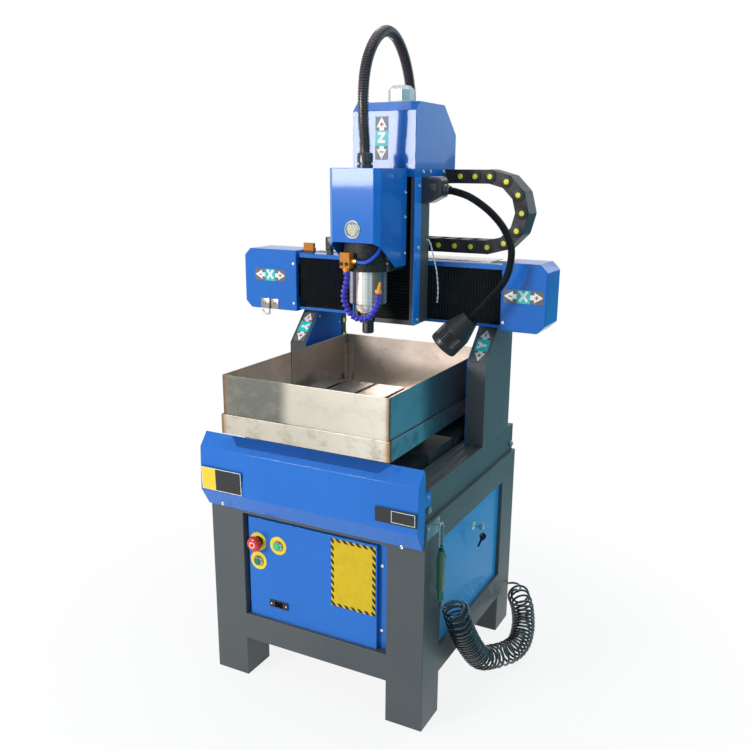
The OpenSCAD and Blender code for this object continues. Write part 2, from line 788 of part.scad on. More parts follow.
module x_bellows_right() color(black) x_bellows([carriage_x + block_x, beam_x[1]]);

// Pleated roof over the Y drive
module y_bellows(y) {
    count = round((y[1] - y[0]) / pleat / 2) * 2;
    step = (y[1] - y[0]) / count;
    for (i = [0 : count - 1]) {
        inset = i % 2 == 0 ? 0 : 4;
        difference() {
            span([inset - bellows_x, bellows_x - inset], [y[0] + i * step, y[0] + (i + 1) * step],
                [bellows_z[0], bellows_z[1] - inset]);
            span([6 - bellows_x, bellows_x - 6], [y[0] + i * step - 1, y[0] + (i + 1) * step + 1],
                [bellows_z[0] - 1, bellows_z[1] - 6]);
        }
    }
}

module y_bellows_front() color(black) y_bellows([-channel_y, saddle_y[0]]);

module y_bellows_rear() color(black) y_bellows([saddle_y[1], channel_y]);

// ---- Table ----

// Bearing block that runs along a rail, open side down, from y to y
module rail_block(across, y) {
    difference() {
        span([across - rail_s / 2 - 12, across + rail_s / 2 + 12], y, [floor_z + 6, saddle_z]);
        span([across - rail_s / 2 - slide_gap, across + rail_s / 2 + slide_gap], [y[0] - 1, y[1] + 1],
            [floor_z, floor_z + y_rail_t + slide_gap]);
    }
}

module table_saddle() color(grey) {
    difference() {
        union() {
            span([-saddle_x, saddle_x], saddle_y, [saddle_z, saddle_z + saddle_plate]);
            span([-y_rail_x, y_rail_x], [saddle_y[0] + 15, saddle_y[1] - 15],
                [saddle_z + saddle_plate, pan_z]);
            span([-nut_half, nut_half], [-68, -18], [floor_z + 6, saddle_z]);
        }
        translate([0, 0, y_screw_z]) bar_y(screw_d + 2 * screw_play, [saddle_y[0] - 1, saddle_y[1] + 1]);
    }
    for (s = [-1, 1], y = [saddle_y[0] + 5, saddle_y[1] - 55])
        rail_block(s * y_rail_x, [y, y + 50]);
}

module tray_pan() color(steel) difference() {
    rim = [[tray_y[0], pan_z], [tray_y[1], pan_z], [tray_y[1], pan_z + pan_back],
        [tray_y[0], pan_z + pan_front]];
    along_x(rim, [-tray_x, tray_x]);
    span([sheet - tray_x, tray_x - sheet], [tray_y[0] + sheet, tray_y[1] - sheet],
        [pan_z + sheet, pan_z + 100]);
}

module splash_box() color(steel) {
    x = tray_x - splash_gap;
    y = [tray_y[0] + 4, tray_y[1] - 4];
    top = pan_z + splash_h;
    difference() {
        span([-x, x], y, [pan_z + splash_foot, top]);
        span([sheet - x, x - sheet], [y[0] + sheet, y[1] - sheet], [pan_z, top + 1]);
    }
    // corner angles that stand in the pan
    for (sx = [-1, 1], sy = [0, 1]) {
        cx = sx < 0 ? [sheet - x, 2 * sheet - x] : [x - 2 * sheet, x - sheet];
        ax = sx < 0 ? [sheet - x, sheet + 18 - x] : [x - sheet - 18, x - sheet];
        cy = sy == 0 ? [y[0] + sheet, y[0] + 2 * sheet] : [y[1] - 2 * sheet, y[1] - sheet];
        ay = sy == 0 ? [y[0] + sheet, y[0] + sheet + 18] : [y[1] - sheet - 18, y[1] - sheet];
        span(cx, ay, [pan_z + sheet, top - 30]);
        span(ax, cy, [pan_z + sheet, top - 30]);
    }
}

module t_slot_table() color(steel) {
    x = table_w / 2;
    difference() {
        span([-x, x], table_y, [table_z, table_z + table_t]);
        for (i = [-1.5 : 1 : 1.5])
            translate([i * slot_pitch, 0, 0]) {
                span([-slot_w / 2, slot_w / 2], [table_y[0] - 1, table_y[1] + 1],
                    [table_z + 5, table_z + table_t + 1]);
                span([-slot_w / 2 - 4, slot_w / 2 + 4], [table_y[0] - 1, table_y[1] + 1],
                    [table_z + 5, table_z + table_t - 7]);
            }
    }
    for (s = [-1, 1])
        span([s * x * 0.7 - 20, s * x * 0.7 + 20], [table_y[0] + 10, table_y[1] - 10],
            [pan_z + sheet, table_z]);
}

// ---- Carriage ----

module x_block(x, z) {
    difference() {
        span([x, x + 50], [wall_y[1] - 0.1, beam_y[0] - 4], [z - block_half, z + block_half]);
        span([x - 1, x + 51], [beam_y[0] - rail_t - slide_gap, beam_y[0]],
            [z - rail_s / 2 - slide_gap, z + rail_s / 2 + slide_gap]);
    }
}

module z_frame() color(grey) {
    difference() {
        union() {
            span([car_x[0], car_x[0] + wall_t], wall_y, car_z);
            span([car_x[1] - wall_t, car_x[1]], wall_y, car_z);
            span(car_x, [plate_y, wall_y[1]], car_z);
            span(car_x, wall_y, [car_z[0], car_z[0] + 12]);
            span(car_x, top_y, top_z);
            // lower bearing of the Z screw and the block that holds the X nut
            span([carriage_x - nut_half, carriage_x + nut_half], [z_screw_y - 16, plate_y],
                [car_z[0], car_z[0] + 26]);
            span([carriage_x - nut_half, carriage_x + nut_half], [wall_y[1] - 0.1, x_screw_y + 15],
                [x_screw_z - 18, x_screw_z + 18]);
            // bracket of the energy chain
            span([car_x[1] - 0.1, chain_x[0]], [chain_y[0] + 2, chain_y[1] - 4],
                [chain_top - chain_h / 2, top_z[1]]);
        }
        translate([carriage_x, z_screw_y, 0])
            bar_z(screw_d + 2 * run_fit, [car_z[0] + 12, top_z[1] + 1]);
        translate([0, x_screw_y, x_screw_z])
            bar_x(screw_d + 2 * screw_play, [car_x[0], car_x[1]]);
    }
    for (x = [carriage_x - block_x, carriage_x + block_x - 50], z = x_rail_z)
        x_block(x, z);
    // linear rails of the Z axis
    for (s = [-1, 1])
        span([carriage_x + s * z_rail_x - rail_s / 2, carriage_x + s * z_rail_x + rail_s / 2],
            [plate_y - rail_t, plate_y + 0.1], z_rail_z);
}

module z_side_plates() color(blue) {
    span([car_x[0] - 3, car_x[0]], [face_y, 51], [car_z[0], top_z[0]]);
    span([car_x[1], car_x[1] + 3], [face_y, 51], [car_z[0], top_z[0]]);
}

// Side view of the tower cover, as [y, z]
tower_line = [
    [tower_y[0], top_z[1] - 14], [tower_y[1], top_z[1] - 14], [tower_y[1], tower_top - 72],
    [tower_y[1] - 82, tower_top], [tower_y[0] + 22, tower_top], [tower_y[0], tower_top - 22]];

module tower_cover() color(blue) difference() {
    x = [car_x[0] - sheet, car_x[1] + sheet];
    along_x(tower_line, x);
    along_x(inset(tower_line, sheet), car_x);
    span(car_x, top_y, [top_z[0] - 1, top_z[1] + 10]);
    span([carriage_x - z_motor_s / 2 - 1, carriage_x + z_motor_s / 2 + 1],
        [z_motor_y - z_motor_s / 2 - 1, z_motor_y + z_motor_s / 2 + 1], [tower_top - 5, tower_top + 1]);
    // open behind the chain bracket
    span([car_x[1] - 1, x[1] + 1], [chain_y[0], chain_y[1] + 5], [top_z[0] - 1, top_z[1] + 2]);
}

// Loop of the drive belt about the motor and the screw
module belt_outline(r) {
    translate([0, z_screw_y]) circle(r);
    translate([0, z_motor_y]) circle(r);
    translate([-r, z_screw_y]) square([2 * r, z_motor_y - z_screw_y]);
}

module z_motor() color("#d8dadc") translate([carriage_x, 0, 0]) {
    half = z_motor_s / 2;
    plate_z = pulley_z + pulley_t + 6;
    body_z = plate_z + motor_plate;
    span([-half, half], [z_motor_y - half, z_motor_y + half], [body_z, tower_top]);
    // end cap with its cut corners
    r = motor_cap / 2;
    cut = r * 0.5;
    translate([0, z_motor_y, tower_top]) linear_extrude(cap_h)
        polygon([[-r, cut - r], [cut - r, -r], [r - cut, -r], [r, cut - r],
            [r, r - cut], [r - cut, r], [cut - r, r], [-r, r - cut]]);
    // collar that the cable conduit ends in
    translate([0, conduit_y, 0]) bar_z(conduit_d + 5, [tower_top, tower_top + collar_h]);
    translate([0, z_motor_y, 0]) bar_z(14, [pulley_z, body_z]);
    // plate and the pillars that carry it
    span([-half, half], [z_motor_y - half, z_motor_y + half], [plate_z, body_z]);
    for (x = [-1, 1], y = [z_motor_y - half + 6, z_motor_y + half - 6])
        translate([x * (half - 6), y, 0]) bar_z(10, [top_z[1], plate_z + 0.1]);
    // pulley and belt
    difference() {
        translate([0, z_motor_y, 0]) bar_z(2 * pulley_r, [pulley_z, pulley_z + pulley_t]);
        translate([0, z_motor_y, 0]) bar_z(12, [pulley_z - 1, pulley_z + pulley_t + 1]);
    }
    translate([0, 0, pulley_z + 2]) linear_extrude(pulley_t - 4) difference() {
        belt_outline(pulley_r + belt_gap + 2);
        belt_outline(pulley_r + belt_gap);
    }
}

module lamp_base() color(grey) difference() {
    along_y([[car_x[1], top_z[0] - 66], [car_x[1] + 20, top_z[0] - 66], [car_x[1] + 56, top_z[0] - 48],
        [car_x[1] + 56, top_z[0] - 10], [car_x[1] + 48, top_z[0]], [car_x[1], top_z[0]]], [52, 103]);
}

module gooseneck() color(black) tube(eased(goose_route, 2), goose_d, 12, [0, 1, 0]);

module lamp_head() color(grey) {
    way = lamp_end - lamp_at;
    translate(lamp_at) rotate([0, acos(way[2] / norm(way)), atan2(way[1], way[0])])
        rotate_extrude() polygon([[0, 0], [16, 0], [22, 2], [24.5, 6], [37, 46], [38.8, 50],
            [39, norm(way)], [36, norm(way)], [33, norm(way) - 14], [0, norm(way) - 14]]);
}

module z_bellows() color(black) {
    z = [car_z[0] + 12, slide_z[0]];
    line = [for (p = pleated(z[0], z[1], 22, 8)) [slide_y[0] + 3 + p[1], p[0]]];
    along_x(folded(line, 1), [car_x[0] + wall_t + 2, car_x[1] - wall_t - 2]);
}

module lamp_wire() color("#e8e8e4") tube(eased(wire_route, 1), wire_d, 8, [0, 1, 0]);

// ---- Ball screws ----

module x_screw() color(steel) translate([0, x_screw_y, x_screw_z]) {
    bar_x(screw_d, [beam_x[0] - 42, beam_x[1] - 5]);
    bar_x(30, [beam_x[0] - 38, beam_x[0] - 4]);
}

module y_screw() color(steel) translate([0, 0, y_screw_z])
    bar_y(screw_d, [-channel_y + 3, channel_y - y_motor_l - gap]);

module z_screw() color(steel) translate([carriage_x, z_screw_y, 0]) {
    bar_z(screw_d, [car_z[0] + 13, pulley_z + pulley_t]);
    bar_z(2 * pulley_r, [pulley_z, pulley_z + pulley_t]);
}

// ---- Head ----

module z_block(x, z) {
    difference() {
        span([x - rail_s / 2 - 12, x + rail_s / 2 + 12], [slide_y[1] - 0.1, plate_y - 4], [z, z + 60]);
        span([x - rail_s / 2 - slide_gap, x + rail_s / 2 + slide_gap],
            [plate_y - rail_t - slide_gap, plate_y], [z - 1, z + 61]);
    }
}

module spindle_clamp() color("#3a3a3c") {
    difference() {
        union() {
            span([carriage_x - slide_x, carriage_x + slide_x], slide_y, slide_z);
            for (s = [-1, 1], z = [slide_z[0] + 20, slide_z[1] - 15])
                translate([carriage_x + s * fold_x, 0, z]) bar_y(12, boss_y);
            // clamp round the spindle, slit at the right
            translate([carriage_x, spindle_y, 0]) bar_z(2 * clamp_r, clamp_z);
            span([carriage_x - slide_x, carriage_x + slide_x], [spindle_y, head_y[1] - sheet - gap],
                clamp_z);
            span([carriage_x - neck_x, carriage_x + neck_x], [spindle_y, slide_y[0] + 0.1], clamp_z);
            span([carriage_x + 48, carriage_x + head_x - 4.5], [spindle_y - 18, spindle_y + 18], clamp_z);
            // seat of the coolant block
            span([block_at[0] - 13.5, block_at[0] + 13.5], [block_at[1] + 12, spindle_y], coolant_z);
            // nut of the Z screw
            span([carriage_x - 18, carriage_x + 18], [slide_y[1] - 0.1, plate_y - 4],
                [slide_z[0] + 80, slide_z[0] + 130]);
        }
        translate([carriage_x, spindle_y, 0]) bar_z(spindle_d, [clamp_z[0] - 1, clamp_z[1] + 1]);
        span([carriage_x + 30, carriage_x + head_x], [spindle_y - 1.5, spindle_y + 1.5],
            [clamp_z[0] - 1, clamp_z[1] + 1]);
        span([block_at[0] - 13.5, block_at[0] + 13.5], [block_at[1] - 12, block_at[1] + 12],
            [clamp_z[0] - 1, clamp_z[1] + 1]);
        translate([carriage_x, z_screw_y, 0]) bar_z(screw_d + 2 * screw_play, slide_z);
    }
    for (s = [-1, 1], z = [slide_z[0] + 5, slide_z[1] - 65])
        z_block(carriage_x + s * z_rail_x, z);
    // socket of the coolant tube
    translate([tube_end[0], 0, tube_end[2]]) bar_y(14, [tube_end[1], spindle_y - 17.9]);
}

module head_outline(grow) {
    x = head_x + grow;
    b = head_bevel;
    polygon([[-x + b, head_y[0] - grow], [x - b, head_y[0] - grow], [x, head_y[0] - grow + b],
        [x, head_y[1]], [-x, head_y[1]], [-x, head_y[0] - grow + b]]);
}

module head_cover() color(blue) difference() {
    translate([carriage_x, 0, head_z[0]]) difference() {
        linear_extrude(head_h) head_outline(0);
        translate([0, 0, -1]) linear_extrude(head_h + 1 - sheet) difference() {
            head_outline(-sheet);
            // folded edges at the back
            for (s = [-1, 1])
                translate([s * fold_x, head_y[1]]) square([fold_w, 2 * sheet], center = true);
        }
    }
    // slanted lower edge
    along_x([[head_y[0] - 1, head_z[0] - 1], [head_y[0] + 92, head_z[0] - 1], [head_y[0] + 92, head_z[0] + 1],
        [head_y[0] - 1, head_z[0] + 66]], [carriage_x - head_x - 1, carriage_x + head_x + 1]);
    translate([carriage_x, gland_y, 0]) bar_z(gland_hole, [head_z[1] - 5, head_z[1] + 1]);
}

module spindle() color("#c4c6c8") translate([carriage_x, spindle_y, 0]) rotate_extrude() {
    r = spindle_d / 2;
    bore = 12 + run_fit;
    polygon([[bore, tier_z], [26, tier_z], [28, tier_z + 2], [28, spindle_z], [r - 5, spindle_z],
        [r, spindle_z + 5], [r, clamp_z[1] + 76], [r - 4, clamp_z[1] + 80], [0, clamp_z[1] + 80],
        [0, clamp_z[1]], [bore, clamp_z[1]]]);
}

module collet_nut() color(black) translate([carriage_x, spindle_y, 0]) rotate_extrude()
    polygon([[collet_bore / 2, nut_z], [13.5, nut_z], [15, nut_z + 1.5], [15, nut_z + 28],
        [17, nut_z + 28], [18, nut_z + 29], [18, tier_z - gap], [12, tier_z - gap],
        [12, clamp_z[1] - 5], [0, clamp_z[1] - 5], [0, nut_z + 32], [collet_bore / 2, nut_z + 32]]);

module coolant_block() color("#e07018") difference() {
    union() {
        span([block_at[0] - 13.5, block_at[0] + 13.5], [block_at[1] - 12, block_at[1] + 12], coolant_z);
        // elbow of the tube
        translate([0, block_at[1], coolant_z[0] + 17]) bar_x(13, [block_at[0] + 13.4, 30]);
    }
    translate([hose_x, block_at[1], 0])
        bar_z(hose_stem + 2 * run_fit, [coolant_z[0] - 1, coolant_z[0] + 12]);
}

module coolant_tube() color("#3060c0") tube(eased(tube_route, 2), tube_d, 10, [0, 0, 1]);

module coolant_hose() color("#5560d0") {
    translate([hose_x, block_at[1], 0]) bar_z(hose_stem, [hose_route[0][2] - 6, coolant_z[0] + 11.5]);
    tube(eased(hose_route, 1), hose_d, 12, [0, 1, 0]);
    translate(hose_end - [0, 0, 1]) rotate([0, 12, 0]) cylinder(d1 = 17, d2 = 8, h = 28);
}

module conduit_gland() color(black) translate([carriage_x, gland_y, 0]) difference() {
    union() {
        bar_z(gland_d, [head_z[1], head_z[1] + gland_h - 4]);
        bar_z(gland_d - 7, [head_z[1] + gland_h - 4.1, head_z[1] + gland_h]);
        bar_z(gland_hole - 2 * run_fit, [head_z[1] - 12, head_z[1] + 1]);
    }
    bar_z(gland_bore, [head_z[1] - 13, head_z[1] + gland_h - 8]);
}

module conduit() color(black) tube(eased(conduit_route, 1), conduit_d, 12, [1, 0, 0]);

// ---- Lock of the side panel with its keys ----

module lock_cylinder() color(steel) translate([side_x, lock_at[0], lock_at[1]]) {
    bar_x(2 * lock_r, [-17, 3]);
    bar_x(24, [gap, 4]);
    // cam at the inner end
    span([-15, -12 - gap], [-8, 8], [-8, 36]);
    // key in the lock, ring and spare key
    span([3.9, 14], [-1, 1], [-4, 4]);
    difference() {
        span([13.9, 34], [-1, 1], [-9, 9]);
        translate([28, 0, -4]) bar_y(5, [-2, 2]);
    }
    translate([28, 0, -14.2]) rotate([0, 90, 0])
        rotate_extrude() translate([9, 0]) circle(d = 2);
    translate([28, 0, -24.4]) {
        difference() {
            span([-9, 9], [-1, 1], [-12, 6]);
            bar_y(5, [-2, 2]);
        }
        span([-3, 3], [-1, 1], [-31, -11.9]);
    }
}

stand();
bed();
front_cover();
control_panel();
button_bodies();
power_inlet();
side_panel();
cabinet_panels();
cabinet_electrics();
left_upright();
right_upright();
upright_sheets();
beam();
beam_strips();
left_end_cover();
right_end_cover();
linear_rails();
axis_motors();
energy_chain();
chain_tray();
air_hook();
air_gun();
gun_lever();
air_hose_coil();
air_hose_lead();
hose_fitting();
cover_screws();
x_bellows_left();
x_bellows_right();
y_bellows_front();
y_bellows_rear();
table_saddle();
t_slot_table();
tray_pan();
splash_box();
z_frame();
z_side_plates();
tower_cover();
z_motor();
lamp_base();
gooseneck();
lamp_head();
z_bellows();
lamp_wire();
x_screw();
y_screw();
z_screw();
spindle_clamp();
head_cover();
spindle();
coolant_block();
coolant_tube();
conduit_gland();
conduit();
coolant_hose();
collet_nut();
e_stop_head();
start_cap();
light_cap();
lock_cylinder();
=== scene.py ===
import bpy, bmesh, json
from math import radians, sin, cos, pi, atan2, sqrt
from mathutils import Vector, Matrix

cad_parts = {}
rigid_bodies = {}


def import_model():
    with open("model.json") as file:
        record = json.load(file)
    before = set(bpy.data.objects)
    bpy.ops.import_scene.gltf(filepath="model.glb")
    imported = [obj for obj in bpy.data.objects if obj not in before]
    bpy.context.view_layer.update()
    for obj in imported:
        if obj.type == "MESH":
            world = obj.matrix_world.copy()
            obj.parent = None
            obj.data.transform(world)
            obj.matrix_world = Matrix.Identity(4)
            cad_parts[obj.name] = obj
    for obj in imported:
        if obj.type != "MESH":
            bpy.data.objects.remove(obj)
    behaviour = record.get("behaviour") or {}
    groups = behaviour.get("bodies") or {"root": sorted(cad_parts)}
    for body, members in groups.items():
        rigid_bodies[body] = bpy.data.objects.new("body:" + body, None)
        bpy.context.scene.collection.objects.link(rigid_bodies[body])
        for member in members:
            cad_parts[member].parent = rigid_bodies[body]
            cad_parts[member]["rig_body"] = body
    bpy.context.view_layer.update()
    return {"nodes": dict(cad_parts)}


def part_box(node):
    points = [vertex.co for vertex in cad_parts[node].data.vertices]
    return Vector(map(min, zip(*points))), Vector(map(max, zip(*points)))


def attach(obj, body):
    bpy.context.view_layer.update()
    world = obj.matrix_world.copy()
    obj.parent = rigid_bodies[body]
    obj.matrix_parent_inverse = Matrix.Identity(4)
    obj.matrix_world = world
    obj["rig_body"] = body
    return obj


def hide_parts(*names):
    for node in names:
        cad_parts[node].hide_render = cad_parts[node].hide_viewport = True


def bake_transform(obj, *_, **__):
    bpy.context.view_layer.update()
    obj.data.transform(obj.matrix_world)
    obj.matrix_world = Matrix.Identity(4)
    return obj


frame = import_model()
print("frame loaded")

scene = bpy.context.scene
scene.view_settings.view_transform = "Standard"

view = {"place": (1.0286, -1.9355, 1.3367), "turn": 27.42, "down": 15.14, "roll": .44,
        "lens": 40.0, "film": 36, "shift": (-.0067, .0279)}


def makeCamera():
    data = bpy.data.cameras.new("camera")
    data.lens = view["lens"]
    data.sensor_width = view["film"]
    data.shift_x, data.shift_y = view["shift"]
    camera = bpy.data.objects.new("camera", data)
    turn = Matrix.Rotation(radians(view["turn"]), 4, "Z")
    tilt = Matrix.Rotation(radians(90 - view["down"]), 4, "X")
    roll = Matrix.Rotation(radians(view["roll"]), 4, "Z")
    camera.matrix_world = Matrix.Translation(view["place"]) @ turn @ tilt @ roll
    scene.collection.objects.link(camera)
    scene.camera = camera


lamps = {  # place, size, power and colour
    "key": ((-1.51, -2.95, 1.65), .9, 74, (1, .99, .98)),
    "side": ((2.9, -.9, 2.1), 1.8, 12, (.45, .9, 1)),
    "top": ((.2, .5, 3.6), 2.6, 32, (1, 1, 1)),
    "back": ((1.6, 2.9, 2.3), 2.0, 14, (.85, .96, 1))}
lampsAim = Vector((0, 0, .85))  # the middle of the machine
white = (1, 1, 1, 1)


def makeLights():
    for name, (place, size, power, colour) in lamps.items():
        data = bpy.data.lights.new(name, "AREA")
        data.shape = "SQUARE"
        data.size = size
        data.energy = power
        data.color = colour
        lamp = bpy.data.objects.new(name, data)
        lamp.location = place
        lamp.rotation_euler = (lampsAim - Vector(place)).to_track_quat("-Z", "Y").to_euler()
        scene.collection.objects.link(lamp)


def seenDirectly(nodes, links):  # 1 where the camera, a mirror or glass looks, 0 where light bounces
    path = nodes.new("ShaderNodeLightPath")
    last = path.outputs["Is Camera Ray"]
    for name in ("Is Glossy Ray", "Is Transmission Ray"):
        either = nodes.new("ShaderNodeMath")
        either.operation = "MAXIMUM"
        links.new(last, either.inputs[0])
        links.new(path.outputs[name], either.inputs[1])
        last = either.outputs[0]
    return last


skyPlan = {
    "light": (.46, .86, .98, 1), "reflection": (.08, .33, .41, 1),  # both from the right only
    "edge": (-.1, .5),  # from where the tint starts to where it is full
    "level": (.5, 1.0)}  # as light, and as seen


def makeSurroundings():  # white where seen; light and reflections from the right are teal
    world = bpy.data.worlds.new("studio")
    scene.world = world
    world.use_nodes = True
    nodes, links = world.node_tree.nodes, world.node_tree.links

    def made(kind, settings, values=()):
        node = nodes.new("ShaderNode" + kind)
        for name, value in settings.items():
            setattr(node, name, value)
        for socket, value in values:
            if isinstance(value, bpy.types.NodeSocket):
                links.new(value, node.inputs[socket])
            else:
                node.inputs[socket].default_value = value
        return node

    way = made("SeparateXYZ", {}, [(0, made("TexCoord", {}).outputs["Generated"])]).outputs["X"]
    path = made("LightPath", {})
    shine = path.outputs["Is Glossy Ray"]
    start, full = skyPlan["edge"]
    share = made("MapRange", {"interpolation_type": "SMOOTHSTEP"},
                 [("Value", way), ("From Min", start), ("From Max", full)]).outputs[0]
    tint = made("Mix", {"data_type": "RGBA"},
                [(0, shine), (6, skyPlan["light"]), (7, skyPlan["reflection"])])
    colour = made("Mix", {"data_type": "RGBA"}, [(0, share), (6, white), (7, tint.outputs[2])])
    plain = made("Math", {"operation": "MAXIMUM"},
                 [(0, path.outputs["Is Camera Ray"]), (1, path.outputs["Is Transmission Ray"])])
    seen = made("Mix", {"data_type": "RGBA"}, [(0, plain.outputs[0]), (6, colour.outputs[2]), (7, white)])
    dim, bright = skyPlan["level"]
    level = made("MapRange", {},
                 [("Value", seenDirectly(nodes, links)), ("To Min", dim), ("To Max", bright)])
    links.new(seen.outputs[2], nodes["Background"].inputs["Color"])
    links.new(level.outputs[0], nodes["Background"].inputs["Strength"])


class Wire:  # one socket of a finish, with arithmetic
    def __init__(self, finish, socket):
        self.finish, self.socket = finish, socket

    def maths(self, operation, *values):
        return self.finish.node("Math", {"operation": operation}, dict(enumerate(values)))

    def __add__(self, other): return self.maths("ADD", self, other)
    def __radd__(self, other): return self.maths("ADD", other, self)
    def __sub__(self, other): return self.maths("SUBTRACT", self, other)
    def __rsub__(self, other): return self.maths("SUBTRACT", other, self)
    def __mul__(self, other): return self.maths("MULTIPLY", self, other)
    def __rmul__(self, other): return self.maths("MULTIPLY", other, self)
    def __truediv__(self, other): return self.maths("DIVIDE", self, other)
    def __gt__(self, other): return self.maths("GREATER_THAN", self, other)
    def __lt__(self, other): return self.maths("LESS_THAN", self, other)
    def __abs__(self): return self.maths("ABSOLUTE", self)
    def sine(self): return self.maths("SINE", self)
    def part(self): return self.maths("FRACT", self)
    def within(self): return self.finish.node("Clamp", {}, {"Value": self})
    def least(self, other): return self.maths("MINIMUM", self, other)
    def most(self, other): return self.maths("MAXIMUM", self, other)

    def between(self, low, high):  # 0 at low, 1 at high, smooth
        return self.finish.node("MapRange", {"interpolation_type": "SMOOTHSTEP"},
                                {"Value": self, "From Min": low, "From Max": high})


class Finish:  # one material
    made = {}

    def __init__(self, name, colour=(.5, .5, .5), rough=.5, metal=0, coat=0, coatRough=.05,
                 specular=.5):
        self.material = bpy.data.materials.new(name)
        self.material.use_nodes = True
        self.nodes, self.links = self.material.node_tree.nodes, self.material.node_tree.links
        self.shader = self.nodes["Principled BSDF"]
        self.put({"Base Color": colour, "Roughness": rough, "Metallic": metal, "Coat Weight": coat,
                  "Coat Roughness": coatRough, "Specular IOR Level": specular})
        self.place = self.node("TexCoord", {}, {}, "Object")
        self.x, self.y, self.z = [self.node("SeparateXYZ", {}, {0: self.place}, axis) for axis in "XYZ"]
        Finish.made[name] = self

    def feed(self, socket, value):
        if isinstance(value, Wire):
            self.links.new(value.socket, socket)
        elif isinstance(value, (tuple, list)) and socket.type == "RGBA":
            socket.default_value = (*value[:3], 1)
        else:
            socket.default_value = value

    def put(self, sockets):
        for name, value in sockets.items():
            self.feed(self.shader.inputs[name], value)
        return self

    def node(self, kind, settings=None, sockets=None, output=0):
        made = self.nodes.new("ShaderNode" + kind)
        for name, value in (settings or {}).items():
            if name == "stops":
                stops = made.color_ramp.elements
                stops.remove(stops[1])
                stops[0].position, stops[0].color = value[0][0], (*value[0][1], 1)
                for position, colour in value[1:]:
                    stops.new(position).color = (*colour, 1)
            else:
                setattr(made, name, value)
        for name, value in (sockets or {}).items():
            self.feed(made.inputs[name], value)
        return Wire(self, made.outputs[output])

    def noise(self, scale, detail=3, stretch=(1, 1, 1), rough=.5):
        spot = self.node("Mapping", {}, {"Vector": self.place, "Scale": stretch})
        return self.node("TexNoise", {}, {"Vector": spot, "Scale": scale, "Detail": detail,
                                          "Roughness": rough})

    def cells(self, scale, stretch=(1, 1, 1)):
        spot = self.node("Mapping", {}, {"Vector": self.place, "Scale": stretch})
        return self.node("TexVoronoi", {}, {"Vector": spot, "Scale": scale})

    def mix(self, mask, first, second):
        made = self.nodes.new("ShaderNodeMix")
        made.data_type = "RGBA"
        for index, value in ((0, mask), (6, first), (7, second)):
            self.feed(made.inputs[index], value)
        return Wire(self, made.outputs[2])

    def bump(self, height, strength=.3, distance=.001):
        self.put({"Normal": self.node("Bump", {}, {"Height": height, "Strength": strength,
                                                   "Distance": distance})})
        return self


def paint(name, colour, shade, rough, coat, peel, mottle, specular):  # cloudy, with a fine orange peel
    finish = Finish(name, colour, rough, coat=coat, coatRough=.06, specular=specular)
    cloud = finish.noise(mottle, 4, (1, 1, .6))
    dust = finish.noise(38, 5)
    finish.put({"Base Color": finish.mix(cloud.between(.3, .75), colour, shade),
                "Roughness": rough + (dust - .5) * .12 + (cloud - .5) * .1})
    return finish.bump(finish.noise(420, 2) * .6 + finish.noise(60, 2) * .4, peel, .0006)


def plastic(name, colour, rough, grain=600, strength=.15, coat=0, specular=.35):  # worn paler in clouds
    finish = Finish(name, colour, rough, coat=coat, specular=specular)
    wear = finish.noise(25, 4)
    lighter = tuple(min(1, c * 1.5 + .01) for c in colour)
    finish.put({"Base Color": finish.mix(wear.between(.45, .8) * .5, colour, lighter),
                "Roughness": rough + (wear - .5) * .15})
    return finish.bump(finish.noise(grain, 2), strength, .0004)


def metal(name, colour, rough, stretch=(1, 1, 1), scale=300, strength=.1, metallic=1):  # finely lined
    finish = Finish(name, colour, rough, metal=metallic)
    lines = finish.noise(scale, 3, stretch)
    cloud = finish.noise(12, 3)
    darker = tuple(c * .72 for c in colour)
    finish.put({"Base Color": finish.mix(cloud.between(.35, .8) * .6 + lines * .25, colour, darker),
                "Roughness": rough + (lines - .5) * .15})
    return finish.bump(lines, strength, .0003)


steel = {
    # grey, middle and bright make a painted reflection, dark on the left and bright on the right
    "grey": (.125, .132, .118), "middle": (.58, .54, .46), "bright": (.76, .71, .62),
    "smudge": (.38, .34, .27), "stain": (.34, .25, .19), "fine": (.42, .38, .31),
    "side": ((.27, .38, .48), (.045, .055, .1), (.1, .14, .16)),  # painted bluish reflection at the front, painted dark reflection at the rear, smudge
    "inside": ((.84, .71, .62), (.6, .49, .42)), "rear": (.3, .25, .24), "seam": (.05, .04, .04),
    "weld": (.55, .25, .07), "corner": (.14, .08, .045)}


